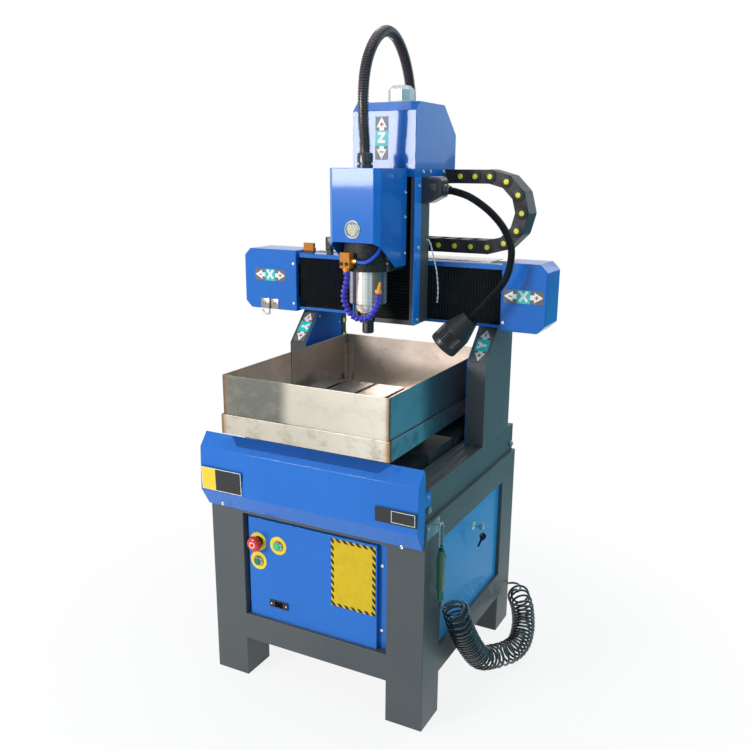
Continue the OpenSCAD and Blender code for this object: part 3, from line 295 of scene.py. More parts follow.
def stainless(name, boxNode, grey, seam, dirt):  # painted reflection: a dark grey left part and a bright right part; warm inside
    low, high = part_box(boxNode)
    finish = Finish(name, (.6, .58, .52), .34, metal=.85)
    blotch = finish.noise(7, 5, (1, 1, 1.4), .6)
    fine = finish.noise(60, 4, (1, 1, 8))
    sideGap = high.x - abs(finish.x)
    # painted reflection: the sheet runs from dark grey on the left to bright on the right
    across = ((finish.x - low.x) / (high.x - low.x) + (blotch - .5) * .06).within()
    sheet = finish.mix(across.between(grey - .05, grey + .05), steel["grey"], steel["middle"])
    sheet = finish.mix(across.between(.5, 1.0), sheet, steel["bright"])
    smudge = finish.noise(17, 6, (1, 1, 1.5), .7).between(.47, .64)
    sheet = finish.mix((smudge * dirt).within(), sheet, steel["smudge"])
    depth = ((finish.y - low.y) / (high.y - low.y) + (blotch - .5) * .1).within()
    sideFrontReflection, sideRearReflection, sideSmudge = steel["side"]
    # painted reflection on the right side: bluish at the front, dark at the rear
    side = finish.mix(depth.between(.24, .38), sideFrontReflection, sideRearReflection)
    side = finish.mix((smudge * dirt).within(), side, sideSmudge)
    sheet = finish.mix(finish.x > high.x - .0006, sheet, side)
    # the inside, with a seam in its left wall that is darker behind it
    inside = (finish.y > low.y + .004) * (sideGap > .0006)
    stain = finish.noise(16, 6, (1, 1, 1.6), .7).between(.56, .66) * .35
    warm = finish.mix(blotch.between(.35, .7), *steel["inside"])
    left = finish.x < low.x + .003
    warm = finish.mix(left * (finish.y > seam) * .45, warm, steel["rear"])
    warm = finish.mix(left * (abs(finish.y - seam) < .0016), warm, steel["seam"])
    sheet = finish.mix(inside, sheet, finish.mix(stain, warm, steel["stain"]))
    sheet = finish.mix((fine * .22).within(), sheet, steel["fine"])
    # brown tint of the welds, along the upright corners
    frontGap = (finish.y - low.y).least(high.y - finish.y)
    reach = sideGap + frontGap + (finish.noise(40, 4) - .5) * .012
    sheet = finish.mix(((1 - reach.between(.005, .019)) * dirt).within(), sheet, steel["weld"])
    corner = 1 - reach.between(0.0, .013)
    finish.put({"Base Color": finish.mix((corner * .8).within(), sheet, steel["corner"]),
                "Roughness": .26 + blotch * .12 + fine * .08})
    return finish.bump(fine * .5 + blotch * .5, .08, .0008)


reflectionStreakPlan = {
    "way": (.888, .461),  # the bands of painted reflection change along this line through the spindle
    "stops": [
        (0.0, (.3, .32, .37)), (.08, (.4, .41, .45)), (.11, (.04, .035, .08)),
        (.18, (.06, .05, .08)), (.21, (.86, .76, .69)), (.34, (.98, .86, .79)),
        (.36, (.58, .5, .46)), (.385, (.98, .87, .81)), (.49, (1.0, .9, .84)),
        (.51, (.6, .52, .48)), (.53, (1.0, .92, .88)), (.6, (1.0, .94, .9)),
        (.62, (.46, .22, .15)), (.66, (.42, .22, .15)), (.69, (.22, .22, .16)),
        (.86, (.2, .21, .17)), (.89, (.06, .11, .34)), (.93, (.4, .45, .52)),
        (1.0, (.5, .53, .57))]}


def turned(name, node):  # bright turned steel with upright bands of painted reflection
    low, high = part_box(node)
    middle = (low + high) / 2
    finish = Finish(name, (.6, .6, .6), .3, metal=.55)
    wayX, wayY = reflectionStreakPlan["way"]
    across = ((finish.x - middle.x) * wayX + (finish.y - middle.y) * wayY) / (high.x - low.x) + .5
    # painted reflection: light and dark upright bands across the spindle
    paintedReflectionBands = finish.node("ValToRGB", {"stops": reflectionStreakPlan["stops"]}, {"Fac": across})
    rings = finish.noise(500, 2, (.01, .01, 1))
    finish.put({"Base Color": finish.mix(rings * .06, paintedReflectionBands, (.4, .37, .37)),
                "Roughness": .24 + rings * .1})
    return finish.bump(rings, .02, .0001)


paints = {  # colour, its darker cloud, roughness, coat, orange peel, size of the clouds, specular
    "blue": ((.01, .136, .53), (.013, .148, .55), .28, .45, .04, 3.5, .1),
    "standGrey": ((.088, .095, .1), (.066, .075, .08), .42, .1, .18, 2.2, .3),
    "castingGrey": ((.052, .054, .06), (.04, .043, .048), .44, .1, .35, 6, .25),
    # the six paints below are lit and shaded copies of the blue and the grey paint: painted light and painted
    # shade
    "panelBlue": ((.02, .27, .6), (.022, .255, .57), .36, .2, .03, 3.5, .1),
    "sheetBlue": ((.012, .115, .52), (.013, .105, .48), .34, .2, .04, 3.5, .1),
    "blueShade": ((.006, .08, .34), (.007, .07, .3), .34, .2, .04, 3.5, .1),
    "blueLit": ((.02, .23, .8), (.022, .24, .82), .28, .45, .04, 3.5, .1),
    "carriageGrey": ((.1, .1, .11), (.082, .083, .092), .42, .1, .35, 6, .25),
    "uprightGrey": ((.105, .104, .112), (.085, .086, .094), .44, .1, .35, 6, .25),
    "frameBlack": ((.034, .035, .04), (.026, .027, .031), .42, .1, .35, 6, .25),
    "bedGrey": ((.075, .084, .09), (.055, .064, .07), .44, .1, .3, 4, .3),
    "motorBlack": ((.01, .01, .011), (.016, .016, .018), .4, .1, .08, 3.5, .2)}
plastics = {  # colour, roughness; grain and its strength, coat and specular where they differ
    "blackPlastic": ((.018, .016, .018), .28, 600, .15, 0, .36),
    "chainBlack": ((.034, .028, .031), .42, 300, .2, 0, .28),
    "rubber": ((.012, .012, .013), .32, 200, .12, 0, .28),
    "conduitBlack": ((.052, .038, .044), .24, 600, .15, 0, .5),
    "hoseBlack": ((.01, .01, .012), .12, 200, .03, .8, .5),
    "lampBlack": ((.024, .022, .024), .32, 600, .15, 0, .34),
    "neckBlack": ((.007, .007, .009), .34, 600, .15, 0, .12),
    "baseBlack": ((.046, .041, .044), .24, 600, .15, 0, .6),
    "yellow": ((.85, .58, .02), .4), "pinYellow": ((1.0, .84, .05), .35),
    "red": ((.68, .012, .015), .22, 300, .02, .6),
    "green": ((.02, .5, .16), .18, 300, .02, .6),
    "darkGreen": ((.008, .16, .075), .18, 300, .02, .6),
    "gunGreen": ((.012, .095, .06), .24, 120, .1, .4),
    "gunFoot": ((.06, .3, .2), .4, 120, .1),
    "orange": ((.92, .29, .015), .3), "amber": ((.5, .17, .012), .3, 600, .15, 0, .2),
    "tubeBlue": ((.015, .09, .62), .2, 200, .02, .5),
    "violet": ((.055, .045, .5), .28, 200, .04, .3),
    "white": ((.8, .8, .78), .4), "wireWhite": ((.95, .95, .93), .3),
    "paleGreen": ((.66, .7, .6), .45), "teal": ((.02, .5, .5), .4),
    "plateGrey": ((.13, .12, .12), .4), "signRed": ((.42, .015, .015), .4),
    "keyBlack": ((.015, .018, .035), .3)}
metals = {  # colour, roughness; stretch of the lines, their scale and strength, how metallic
    "bright": ((.8, .79, .76), .22, (1, 1, 1), 120, .05),
    "ground": ((.48, .49, .5), .32, (1, 8, 1), 160, .06),
    "milled": ((.42, .38, .36), .26, (1, 14, 1), 120, .12),
    "brass": ((.72, .5, .18), .28),
    "capSilver": ((.5, .49, .49), .32, (1, 1, 1), 200, .06, .45),
    "zinc": ((.78, .79, .8), .24, (1, 6, 1), 120, .05),
    "catchSteel": ((.36, .33, .3), .3, (1, 1, 1), 160, .05),
    "darkSteel": ((.13, .115, .115), .3, (1, 1, 10), 160, .1)}


def makeFinishes():
    for make, table in ((paint, paints), (plastic, plastics), (metal, metals)):
        for name, values in table.items():
            make(name, *values)
    turned("spindleSteel", "spindle")
    cast = Finish("roughCasting", (.022, .022, .024), .5, specular=.3)
    grit = cast.noise(260, 5)
    cast.put({"Base Color": cast.mix(grit.between(.45, .75), (.012, .012, .014), (.05, .05, .052)),
              "Roughness": .4 + grit * .25}).bump(grit + cast.cells(180) * .6, .6, .0012)
    stainless("panSteel", "tray_pan", 0.0, 1.0, .65)
    stainless("boxSteel", "splash_box", .39, -.048, .22)


def dress(piece, *finishNames):
    for index, name in enumerate(finishNames):
        if index < len(piece.data.materials):
            piece.data.materials[index] = Finish.made[name].material
        else:
            piece.data.materials.append(Finish.made[name].material)
    return piece


def toPiece(name, mesh, finishNames, body=None, sharp=35, replaces=()):
    if isinstance(mesh, bmesh.types.BMesh):
        data = bpy.data.meshes.new(name)
        mesh.to_mesh(data)
        mesh.free()
    else:
        data = mesh
        data.name = name
    piece = bpy.data.objects.new(name, data)
    scene.collection.objects.link(piece)
    data.shade_smooth()
    data.set_sharp_from_angle(angle=radians(sharp))
    dress(piece, *(finishNames if isinstance(finishNames, tuple) else (finishNames,)))
    if body:
        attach(piece, body)
    if replaces:
        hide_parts(replaces)
    return piece


def bevelled(bm, edges, width, segments=2, clamp=True):
    return bmesh.ops.bevel(bm, geom=edges, offset=width, segments=segments, profile=.5, affect="EDGES",
                           material=-1, clamp_overlap=clamp)


def edgesAt(verts):
    return list({edge for vert in verts for edge in vert.link_edges})


def block(bm, low, high, bevel=0.0, segments=2):
    low, high = Vector(low), Vector(high)
    place = Matrix.Translation((low + high) / 2) @ Matrix.Diagonal((*(high - low), 1))
    made = bmesh.ops.create_cube(bm, size=1, matrix=place)["verts"]
    if bevel:
        bevelled(bm, edgesAt(made), bevel, segments)


def drum(bm, start, end, radius, sides=32, bevel=0.0):
    start, end = Vector(start), Vector(end)
    way = end - start
    place = Matrix.Translation((start + end) / 2) @ way.to_track_quat("Z", "Y").to_matrix().to_4x4()
    made = bmesh.ops.create_cone(bm, cap_ends=True, segments=sides, radius1=radius, radius2=radius,
                                 depth=way.length, matrix=place)["verts"]
    if bevel:
        rims = [edge for edge in edgesAt(made) if max(len(face.verts) for face in edge.link_faces) > 4]
        bevelled(bm, rims, bevel)


def fluted(bm, centre, steps, every, cut, depth, reaches, heights):  # grooves round a spun shape
    for vert in bm.verts:
        x, y = vert.co.x - centre[0], vert.co.y - centre[1]
        reach = sqrt(x * x + y * y)
        if reaches[0] < reach < reaches[1] and heights[0] < vert.co.z < heights[1]:
            if round(atan2(y, x) / (2 * pi) * steps) % every < cut:
                vert.co.x -= x / reach * depth
                vert.co.y -= y / reach * depth


def spun(profile, place=Matrix(), steps=48):  # profile of (radius, height), spun round Z
    bm = bmesh.new()
    verts = [bm.verts.new((radius, 0, height)) for radius, height in profile]
    edges = [bm.edges.new(pair) for pair in zip(verts, verts[1:])]
    bmesh.ops.spin(bm, geom=verts + edges, cent=(0, 0, 0), axis=(0, 0, 1), angle=2 * pi, steps=steps,
                   use_merge=True)
    bmesh.ops.remove_doubles(bm, verts=bm.verts, dist=1e-6)
    bmesh.ops.recalc_face_normals(bm, faces=bm.faces)
    bmesh.ops.transform(bm, matrix=place, verts=bm.verts)
    return bm


def aimed(start, way):  # a frame at start whose Z runs along way
    return Matrix.Translation(start) @ Vector(way).to_track_quat("Z", "Y").to_matrix().to_4x4()


def placed(xWay, yWay, zWay, point):  # a frame at point with these three ways
    return Matrix.Translation(point) @ Matrix((xWay, yWay, zWay)).transposed().to_4x4()


def gather(bm, other, index=None):  # adds another bmesh to this one, in the finish of that number
    data = bpy.data.meshes.new("part")
    other.to_mesh(data)
    other.free()
    before = len(bm.faces)
    bm.from_mesh(data)
    bpy.data.meshes.remove(data)
    if index is not None:
        bm.faces.ensure_lookup_table()
        for face in bm.faces[before:]:
            face.material_index = index


def softened(node, finishName, width, segments=2):  # a CAD node with its long edges rounded
    source = frame["nodes"][node]
    bm = bmesh.new()
    bm.from_mesh(source.data)
    bmesh.ops.remove_doubles(bm, verts=bm.verts, dist=2e-6)
    bmesh.ops.dissolve_limit(bm, angle_limit=radians(.5), verts=bm.verts, edges=bm.edges)
    edges = [edge for edge in bm.edges if len(edge.link_faces) == 2 and edge.calc_face_angle() > radians(25)
             and min(face.calc_area() for face in edge.link_faces) > 3 * width * edge.calc_length()]
    bevelled(bm, edges, width, segments)
    piece = toPiece(node + "Folded", bm, finishName, source["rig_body"], 50, node)
    even = piece.modifiers.new("even", "WEIGHTED_NORMAL")
    even.keep_sharp = True
    return piece


def eased(points, steps):  # a smooth line through the points
    points = [Vector(p) for p in points]
    line = []
    for i in range(len(points) - 1):
        a, b = points[max(i - 1, 0)], points[i]
        c, d = points[i + 1], points[min(i + 2, len(points) - 1)]
        for k in range(steps):
            t = k / steps
            line.append(b + (c - a) * t / 2 + (2 * a - 5 * b + 4 * c - d) * t * t / 2
                        + (3 * b - a - 3 * c + d) * t ** 3 / 2)
    return line + [points[-1]]


def lengthOf(line):
    return sum((b - a).length for a, b in zip(line, line[1:]))


def spaced(line, pitch):  # the same line with evenly spaced points
    length = lengthOf(line)
    count = max(2, int(round(length / pitch)))
    step, made, left = length / count, [line[0].copy()], length / count
    for a, b in zip(line, line[1:]):
        span = (b - a).length
        while span >= left and len(made) < count:
            a = a + (b - a) * (left / span) if span else a
            made.append(a.copy())
            span, left = (b - a).length, step
        left -= span
    return made + [line[-1].copy()]


def frames(line, across=(1, 0, 0)):  # (point, forward, side, up) along a line, without twist
    made, side = [], Vector(across)
    for i, point in enumerate(line):
        ahead = (line[min(i + 1, len(line) - 1)] - line[max(i - 1, 0)]).normalized()
        side = (side - side.dot(ahead) * ahead).normalized()
        made.append((point, ahead, side, ahead.cross(side)))
    return made


def tube(name, line, radii, finishName, sides=6, body=None):  # a curve made a round mesh
    data = bpy.data.curves.new(name, "CURVE")
    data.dimensions = "3D"
    data.bevel_depth = 1
    data.bevel_resolution = sides
    data.use_fill_caps = True
    spline = data.splines.new("POLY")
    spline.points.add(len(line) - 1)
    for i, (spot, point) in enumerate(zip(spline.points, line)):
        spot.co = (*point, 1)
        spot.radius = radii if isinstance(radii, float) else radii[i]
    source = bpy.data.objects.new(name, data)
    scene.collection.objects.link(source)
    bpy.context.view_layer.update()
    mesh = bpy.data.meshes.new_from_object(source.evaluated_get(bpy.context.evaluated_depsgraph_get()))
    bpy.data.objects.remove(source)
    bpy.data.curves.remove(data)
    return toPiece(name, mesh, finishName, body, 50)


def screw(bm, at, way, radius, height):  # a socket head screw
    made = bmesh.ops.create_cone(bm, cap_ends=True, segments=20, radius1=radius, radius2=radius,
                                 depth=height, matrix=Matrix.Translation((0, 0, height / 2)))["verts"]
    top = [f for f in {f for v in made for f in v.link_faces} if f.normal.z > .9 and len(f.verts) > 4]
    domed = bevelled(bm, list(top[0].edges), height * .35)
    top = max((f for v in domed["verts"] for f in v.link_faces), key=lambda f: f.calc_center_median().z)
    bmesh.ops.inset_region(bm, faces=[top], thickness=radius * .32)
    bmesh.ops.translate(bm, vec=(0, 0, -height * .55), verts=top.verts)
    seen, grown = set(), list(made[:1] if made[0].is_valid else top.verts[:1])
    while grown:  # the whole screw, and nothing made before it
        vert = grown.pop()
        if vert not in seen:
            seen.add(vert)
            grown += [edge.other_vert(vert) for edge in vert.link_edges]
    bmesh.ops.transform(bm, matrix=aimed(at, way), verts=list(seen))


def screws(name, rows, finishName, body, sharp=30):
    bm = bmesh.new()
    for at, way, radius, height in rows:
        screw(bm, at, way, radius, height)
    toPiece(name, bm, finishName, body, sharp)


conduitPlan = {
    "route": [(.023, -.086, 1.378), (.023, -.087, 1.396), (.023, -.09, 1.42), (.023, -.094, 1.447),
              (.023, -.096, 1.48), (.023, -.095, 1.52), (.023, -.088, 1.56), (.023, -.071, 1.598),
              (.023, -.043, 1.632), (.023, -.009, 1.656), (.023, .028, 1.667), (.023, .065, 1.662),
              (.023, .098, 1.644), (.023, .127, 1.615), (.023, .148, 1.582), (.023, .161, 1.55),
              (.023, .167, 1.53), (.023, .168, 1.511)],
    "radius": .0135, "groove": .0109, "pitch": .006, "steps": 6}


glandPlan = {"radius": .0194, "steps": 72, "rib": .0009, "plate": .008, "neck": .0045}


def makeGland():  # the screwed gland that the conduit leaves the head by
    low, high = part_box("conduit_gland")
    centre, base, top = (low + high) / 2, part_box("head_cover")[1].z, high.z
    wide, plate = glandPlan["radius"], base + glandPlan["plate"]
    neck = wide - glandPlan["neck"]
    profile = [(.01, low.z), (.0115, low.z), (.0115, base), (wide, base), (wide, plate),
               (wide - .0006, plate + .0008), (neck, plate + .0009), (neck, plate + .0042),
               (wide - .0006, plate + .0043), (wide, plate + .005), (wide, top - .006),
               (wide - .0012, top - .0015), (wide - .003, top), (.0136, top), (.01, top - .001),
               (.01, low.z)]
    bm = spun(profile, Matrix.Translation((centre.x, centre.y, 0)), glandPlan["steps"])
    # grip ribs round the nut
    fluted(bm, centre, glandPlan["steps"], 3, 1, glandPlan["rib"], (wide - .0015, 1),
           (base + .015, 2 * top))
    return toPiece("glandTurned", bm, "conduitBlack", "head", 30, "conduit_gland")


def makeConduit():
    gland = makeGland()
    steps = conduitPlan["steps"]
    line = spaced(eased(conduitPlan["route"], 12), conduitPlan["pitch"] / steps)
    radii = [conduitPlan["groove" if i % steps in (0, steps - 1) else "radius"] for i in range(len(line))]
    piece = tube("conduitHose", line, radii, "conduitBlack", 5)
    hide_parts("conduit")
    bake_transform(piece)
    lengthOf(line)


tubePlan = {
    "route": [(.03, -.139, 1.121), (.04, -.138, 1.119), (.052, -.136, 1.12), (.064, -.131, 1.126),
              (.074, -.122, 1.138), (.08, -.111, 1.152), (.082, -.1, 1.162), (.082, -.089, 1.165)],
    "radius": .0045}


def makeCoolantTube():
    line = eased(tubePlan["route"], 6)
    piece = tube("coolantTubeBlue", line, tubePlan["radius"], "tubeBlue", 6)
    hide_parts("coolant_tube")
    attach(piece, "head")
    lengthOf(line)


wirePlan = {
    "route": [(.11, .094, 1.162), (.116, .094, 1.161), (.122, .094, 1.15), (.128, .094, 1.13),
              (.134, .094, 1.108), (.14, .094, 1.085), (.144, .094, 1.06), (.146, .094, 1.035),
              (.146, .094, 1.015), (.145, .094, .998)],
    "radius": .0021, "strand": .001, "twist": .026, "step": .0012}


def makeLampWire():
    outer, step = wirePlan["radius"], wirePlan["step"]
    line = spaced(eased(wirePlan["route"], 8), step)
    reach = outer - wirePlan["strand"] * .85
    bm = bmesh.new()
    for phase in (0, pi):
        twisted = []
        for i, (point, ahead, side, up) in enumerate(frames(line, (0, 1, 0))):
            angle = phase + 2 * pi * i * step / wirePlan["twist"]
            twisted.append(point + reach * (cos(angle) * side + sin(angle) * up))
        strand = tube("strand", twisted, wirePlan["strand"], "wireWhite", 3)
        bm.from_mesh(strand.data)
        bpy.data.objects.remove(strand)
    piece = toPiece("lampWirePair", bm, "wireWhite", "carriage", 50)
    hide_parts("lamp_wire")
    lengthOf(line)


airPlan = {
    "wall": [(.285, .337, .088), (.289, .347, .089), (.3, .356, .091), (.315, .359, .094),
             (.33, .354, .096), (.341, .342, .098), (.347, .326, .1), (.347, .304, .098)],
    "coil": [(.347, .304, .098), (.357, .278, .1), (.385, .23, .092), (.406, .18, .064),
             (.414, .12, .043), (.402, .07, .038), (.374, .012, .046), (.363, -.06, .082),
             (.357, -.13, .157), (.351, -.19, .248), (.346, -.216, .313)],
    "gun": [(.346, -.216, .313), (.339, -.228, .311), (.334, -.242, .31), (.33, -.254, .314),
            (.328, -.262, .324), (.328, -.262, .338), (.328, -.262, .355), (.328, -.262, .372)],
    "radius": .0034, "coilRadius": .0308, "step": .0015, "point": .0105, "ease": .012,
    "pitches": [(0.0, .024), (.1, .022), (.14, .0118), (.36, .0122), (.42, .024), (.6, .025),
                (.66, .0128), (.86, .0125), (.9, .019), (1.0, .022)]}


def makeCoupling():
    low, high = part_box("hose_fitting")
    centre = (low + high) / 2
    body = spun([(0, 0), (.007, 0), (.007, .003), (.0055, .0034), (.0055, .0045), (.007, .005),
                 (.007, .01), (.005, .0105), (.005, .018), (.0045, .0198), (0, .0198)],
                aimed((centre.x, low.y, centre.z), (0, 1, 0)), 36)
    return toPiece("hoseCoupling", body, "brass", "frame", 30, "hose_fitting")


def makeCollar():  # rings at the foot of the gun
    rings = spun([(.0036, 0), (.005, .0005), (.005, .006), (.0079, .0065), (.008, .01), (.0074, .0105),
                  (.0074, .012), (.008, .0125), (.008, .017), (.0074, .0175), (.0074, .019), (.008, .0195),
                  (.008, .0295), (.006, .0305)], Matrix.Translation(airPlan["gun"][5]), 36)
    return toPiece("gunCollar", rings, "gunFoot", "frame", 30)


def makeAirHose():
    carried = [softened("air_gun", "gunGreen", .0016, 3), softened("gun_lever", "gunGreen", .0008),
               makeCollar(), makeCoupling()]
    step = airPlan["step"]
    centre = spaced(eased(airPlan["coil"], 12), step)
    whole = lengthOf(centre)
    helix, angle = [], 0
    for i, (point, ahead, side, up) in enumerate(frames(centre, (0, 0, 1))):
        share = i / (len(centre) - 1)
        stops = airPlan["pitches"]
        for (a, first), (b, second) in zip(stops, stops[1:]):
            if a <= share <= b:
                pitch = first + (second - first) * (share - a) / (b - a)
        ends = min(share, 1 - share) * whole / airPlan["ease"]
        reach = airPlan["coilRadius"] * min(1, ends) ** .7
        helix.append((point, side, up, reach, angle))
        angle += 2 * pi * step / pitch
    turns = []
    for (p, s, u, r, a), (p2, s2, u2, r2, a2) in zip(helix, helix[1:]):
        pieces = max(1, int((a2 - a) / (2 * pi / 15)) + 1)
        for k in range(pieces):
            t = k / pieces
            here = a + (a2 - a) * t
            reach = r + (r2 - r) * t
            turns.append(p.lerp(p2, t) + reach * (cos(here) * s.lerp(s2, t) + sin(here) * u.lerp(u2, t)))
    turns = spaced(turns, airPlan["point"])
    line = eased(airPlan["wall"], 5)[:-1] + turns + eased(airPlan["gun"], 5)[1:]
    piece = tube("airHose", line, airPlan["radius"], "hoseBlack", 2)
    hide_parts("air_hose_coil", "air_hose_lead")
    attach(piece, "frame")
    lengthOf(line)


floorPlan = {"size": 12, "drop": .0005, "white": .86, "teal": ((.06, .43, .52), (.05, .2, .32))}


def makeFloor():  # white far off, and teal on the right in what metal mirrors
    bm = bmesh.new()
    bmesh.ops.create_grid(bm, x_segments=1, y_segments=1, size=floorPlan["size"])
    pale = floorPlan["white"]
    finish = Finish("floor", (pale, pale, pale), .95, specular=.1)
    far = (finish.x * finish.x + finish.y * finish.y).between(.2, 1.6)
    mirrored = finish.node("LightPath", {}, {}, "Is Glossy Ray")
    right = mirrored * finish.x.between(.2, .9)
    teal = finish.mix(finish.x.between(1.0, 3.5), *floorPlan["teal"])
    glow = finish.node("Emission", {}, {"Color": finish.mix(right, (1, 1, 1), teal), "Strength": 1.0})
    path = Wire(finish, seenDirectly(finish.nodes, finish.links))
    far = (pale + far * (1 - pale)).most(mirrored)
    both = finish.node("MixShader", {}, {0: far * path, 1: Wire(finish, finish.shader.outputs[0]), 2: glow})
    finish.links.new(both.socket, finish.nodes["Material Output"].inputs["Surface"])
    floor = toPiece("floorSheet", bm, "floor")
    floor.location.z = -floorPlan["drop"]


makeCamera()
makeLights()
makeSurroundings()
makeFinishes()
makeFloor()
print("camera, light and finishes made")
makeConduit()
makeCoolantTube()
makeLampWire()
makeAirHose()
print("cords made")


pleatPlan = {"pitch": .0083, "round": .0007, "wall": .0008,  # the upright curtains
             "roofPitch": .008, "roofFold": .0042, "roofWall": .001}


def curtain(name, node, along):  # an upright pleated curtain, folded along x or z
    low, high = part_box(node)
    across = "z" if along == "x" else "x"
    length, width = getattr(high - low, along), getattr(high - low, across)
    count = 2 * round(length / pleatPlan["pitch"])
    bm = bmesh.new()
    bmesh.ops.create_grid(bm, x_segments=count, y_segments=1, size=.5)
    bmesh.ops.scale(bm, vec=(length, width, 1), verts=bm.verts)
    depth = high.y - low.y - 2 * pleatPlan["wall"]
    inner = [v for v in bm.verts if round((v.co.x / length + .5) * count) % 2]
    bmesh.ops.translate(bm, vec=(0, 0, depth), verts=inner)
    folds = [edge for edge in bm.edges if len(edge.link_faces) == 2
             and abs(edge.verts[0].co.x - edge.verts[1].co.x) < 1e-6]
    bevelled(bm, folds, pleatPlan["round"], clamp=False)
    bmesh.ops.solidify(bm, geom=bm.faces, thickness=pleatPlan["wall"])
    bmesh.ops.recalc_face_normals(bm, faces=bm.faces)
    turn = Matrix.Rotation(pi / 2, 4, "X")
    if along == "z":
        turn = Matrix.Rotation(-pi / 2, 4, "Y") @ turn
    bmesh.ops.transform(bm, matrix=turn, verts=bm.verts)
    box = [[f(getattr(v.co, axis) for v in bm.verts) for axis in "xyz"] for f in (min, max)]
    bmesh.ops.translate(bm, vec=(low + high) / 2 - (Vector(box[0]) + Vector(box[1])) / 2, verts=bm.verts)
    return toPiece(name, bm, "rubber", None, 60, node)


def roof(name, node):  # a pleated roof, folded along y
    low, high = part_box(node)
    count = 2 * round((high.y - low.y) / pleatPlan["roofPitch"])
    step = (high.y - low.y) / count
    fold = pleatPlan["roofFold"]
    bm = bmesh.new()
    corners = [(low.x, low.z), (low.x, high.z), (high.x, high.z), (high.x, low.z)]
    verts = [bm.verts.new((x, low.y, z)) for x, z in corners]
    edges = [bm.edges.new(pair) for pair in zip(verts, verts[1:])]
    for i in range(count):
        made = bmesh.ops.extrude_edge_only(bm, edges=edges)["geom"]
        edges = [e for e in made if isinstance(e, bmesh.types.BMEdge) and
                 abs(e.verts[0].co.y - e.verts[1].co.y) < 1e-7 and len(e.link_faces) == 1]
        fresh = [v for v in made if isinstance(v, bmesh.types.BMVert)]
        bmesh.ops.translate(bm, vec=(0, step, 0), verts=fresh)
        inward = fold if i % 2 == 0 else 0
        for v in fresh:
            v.co.x = (-1 if v.co.x < 0 else 1) * (high.x - inward)
            if v.co.z > (low.z + high.z) / 2:
                v.co.z = high.z - inward
    bmesh.ops.recalc_face_normals(bm, faces=bm.faces)
    if max(bm.faces, key=lambda f: f.calc_center_median().z).normal.z < 0:
        bmesh.ops.reverse_faces(bm, faces=bm.faces)
    bmesh.ops.solidify(bm, geom=bm.faces, thickness=pleatPlan["roofWall"])
    return toPiece(name, bm, "rubber", None, 60, node)


# a spare length beyond the ends of each bellows
slack = {"left": .045, "right": .04, "front": .05, "rear": .04, "head": .025}


def makeBellows():
    for side, way in (("left", 1), ("right", -1)):
        node, spare = "x_bellows_" + side, slack[side] * way
        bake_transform(curtain("curtain" + side.title(), node, "x"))
    for side, way in (("front", 1), ("rear", -1)):
        node, spare = "y_bellows_" + side, slack[side] * way
        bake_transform(roof("roof" + side.title(), node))
    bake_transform(curtain("curtainHead", "z_bellows", "z"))


chainPlan = {"height": .038, "plate": .006, "bar": .003, "pin": .007, "runs": (3, 6, 6),
             "outer": .46, "bendOuter": .64, "inner": .3,  # half of a bar, as a share of the pitch
             "rear": {"start": (-.268, .2785, .776), "pitch": .045, "links": 4, "width": .04}}


def chainLink(bm, place, pitch, wide, odd, outer=chainPlan["outer"]):  # about the middle of its pitch
    plan = chainPlan
    half, tall = wide / 2, plan["height"] / 2 - .001
    link, pins = bmesh.new(), bmesh.new()
    for side in (-1, 1):
        out = half - (.001 if odd else .0026)  # every second link stands out further
        y = sorted((side * (out - plan["plate"]), side * out))
        block(link, (-pitch / 2 - .003, y[0], -tall), (pitch / 2 + .001, y[1], tall), .0008, 1)
        drum(link, (pitch / 2, side * (half - .008), 0), (pitch / 2, side * (half - .0002), 0),
             tall - .0012, bevel=.0006)
        drum(pins, (pitch / 2, side * (half - .004), 0), (pitch / 2, side * (half + .0006), 0),
             plan["pin"], sides=16, bevel=.0006)
        z = sorted((side * (tall - plan["bar"]), side * tall))
        reach = pitch * (outer if side > 0 else plan["inner"])
        block(link, (-reach, -half + .004, z[0]), (reach, half - .004, z[1]), .001, 1)
    for part, index in ((link, 0), (pins, 1)):
        bmesh.ops.transform(part, matrix=place, verts=part.verts)
        gather(bm, part, index)


def makeChain():
    low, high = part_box("energy_chain")
    middle = (low.y + high.y) / 2
    wide = high.y - low.y - .0014
    radius = (high.z - low.z - chainPlan["height"]) / 2
    bendX = high.x - radius - chainPlan["height"] / 2
    bendZ = (low.z + high.z) / 2
    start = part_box("z_frame")[1].x
    upper, bend, lower = chainPlan["runs"]
    rows = {"chainUpper": [], "chainBend": [], "chainLower": []}
    pitch = (bendX - start) / upper
    for i in range(upper):
        place = Matrix.Translation((start + pitch * (i + .5), middle, bendZ + radius))
        rows["chainUpper"].append((place, pitch))
    for i in range(bend):
        turn = pi * (i + .5) / bend
        place = (Matrix.Translation((bendX, middle, bendZ)) @ Matrix.Rotation(turn, 4, "Y")
                 @ Matrix.Translation((0, 0, radius * cos(pi / bend / 2))))
        rows["chainBend"].append((place, 2 * radius * sin(pi / bend / 2)))
    pitch = (bendX - low.x) / lower
    for i in range(lower):
        place = (Matrix.Translation((bendX - pitch * (i + .5), middle, bendZ - radius))
                 @ Matrix.Rotation(pi, 4, "Y"))
        rows["chainLower"].append((place, pitch - .0003))
    pieces = {}
    for name, links in rows.items():
        bm = bmesh.new()
        for i, (place, pitch) in enumerate(links):
            last = name == "chainLower" and i == len(links) - 1
            outer = chainPlan["bendOuter" if name == "chainBend" else "outer"]
            chainLink(bm, place, pitch - (.012 if last else 0), wide, i % 2, outer)
        pieces[name] = toPiece(name, bm, ("chainBlack", "pinYellow"), sharp=30)
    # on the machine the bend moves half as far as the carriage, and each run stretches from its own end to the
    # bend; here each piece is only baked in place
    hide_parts("energy_chain")
    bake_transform(pieces["chainUpper"], "carriage", "frame", start=(start - .024, 0, 0),
             end=(2 * bendX - start + .024, 0, 0))
    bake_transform(pieces["chainBend"])
    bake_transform(pieces["chainLower"], "frame", "carriage", start=(low.x, 0, 0), end=(2 * bendX - low.x, 0, 0))


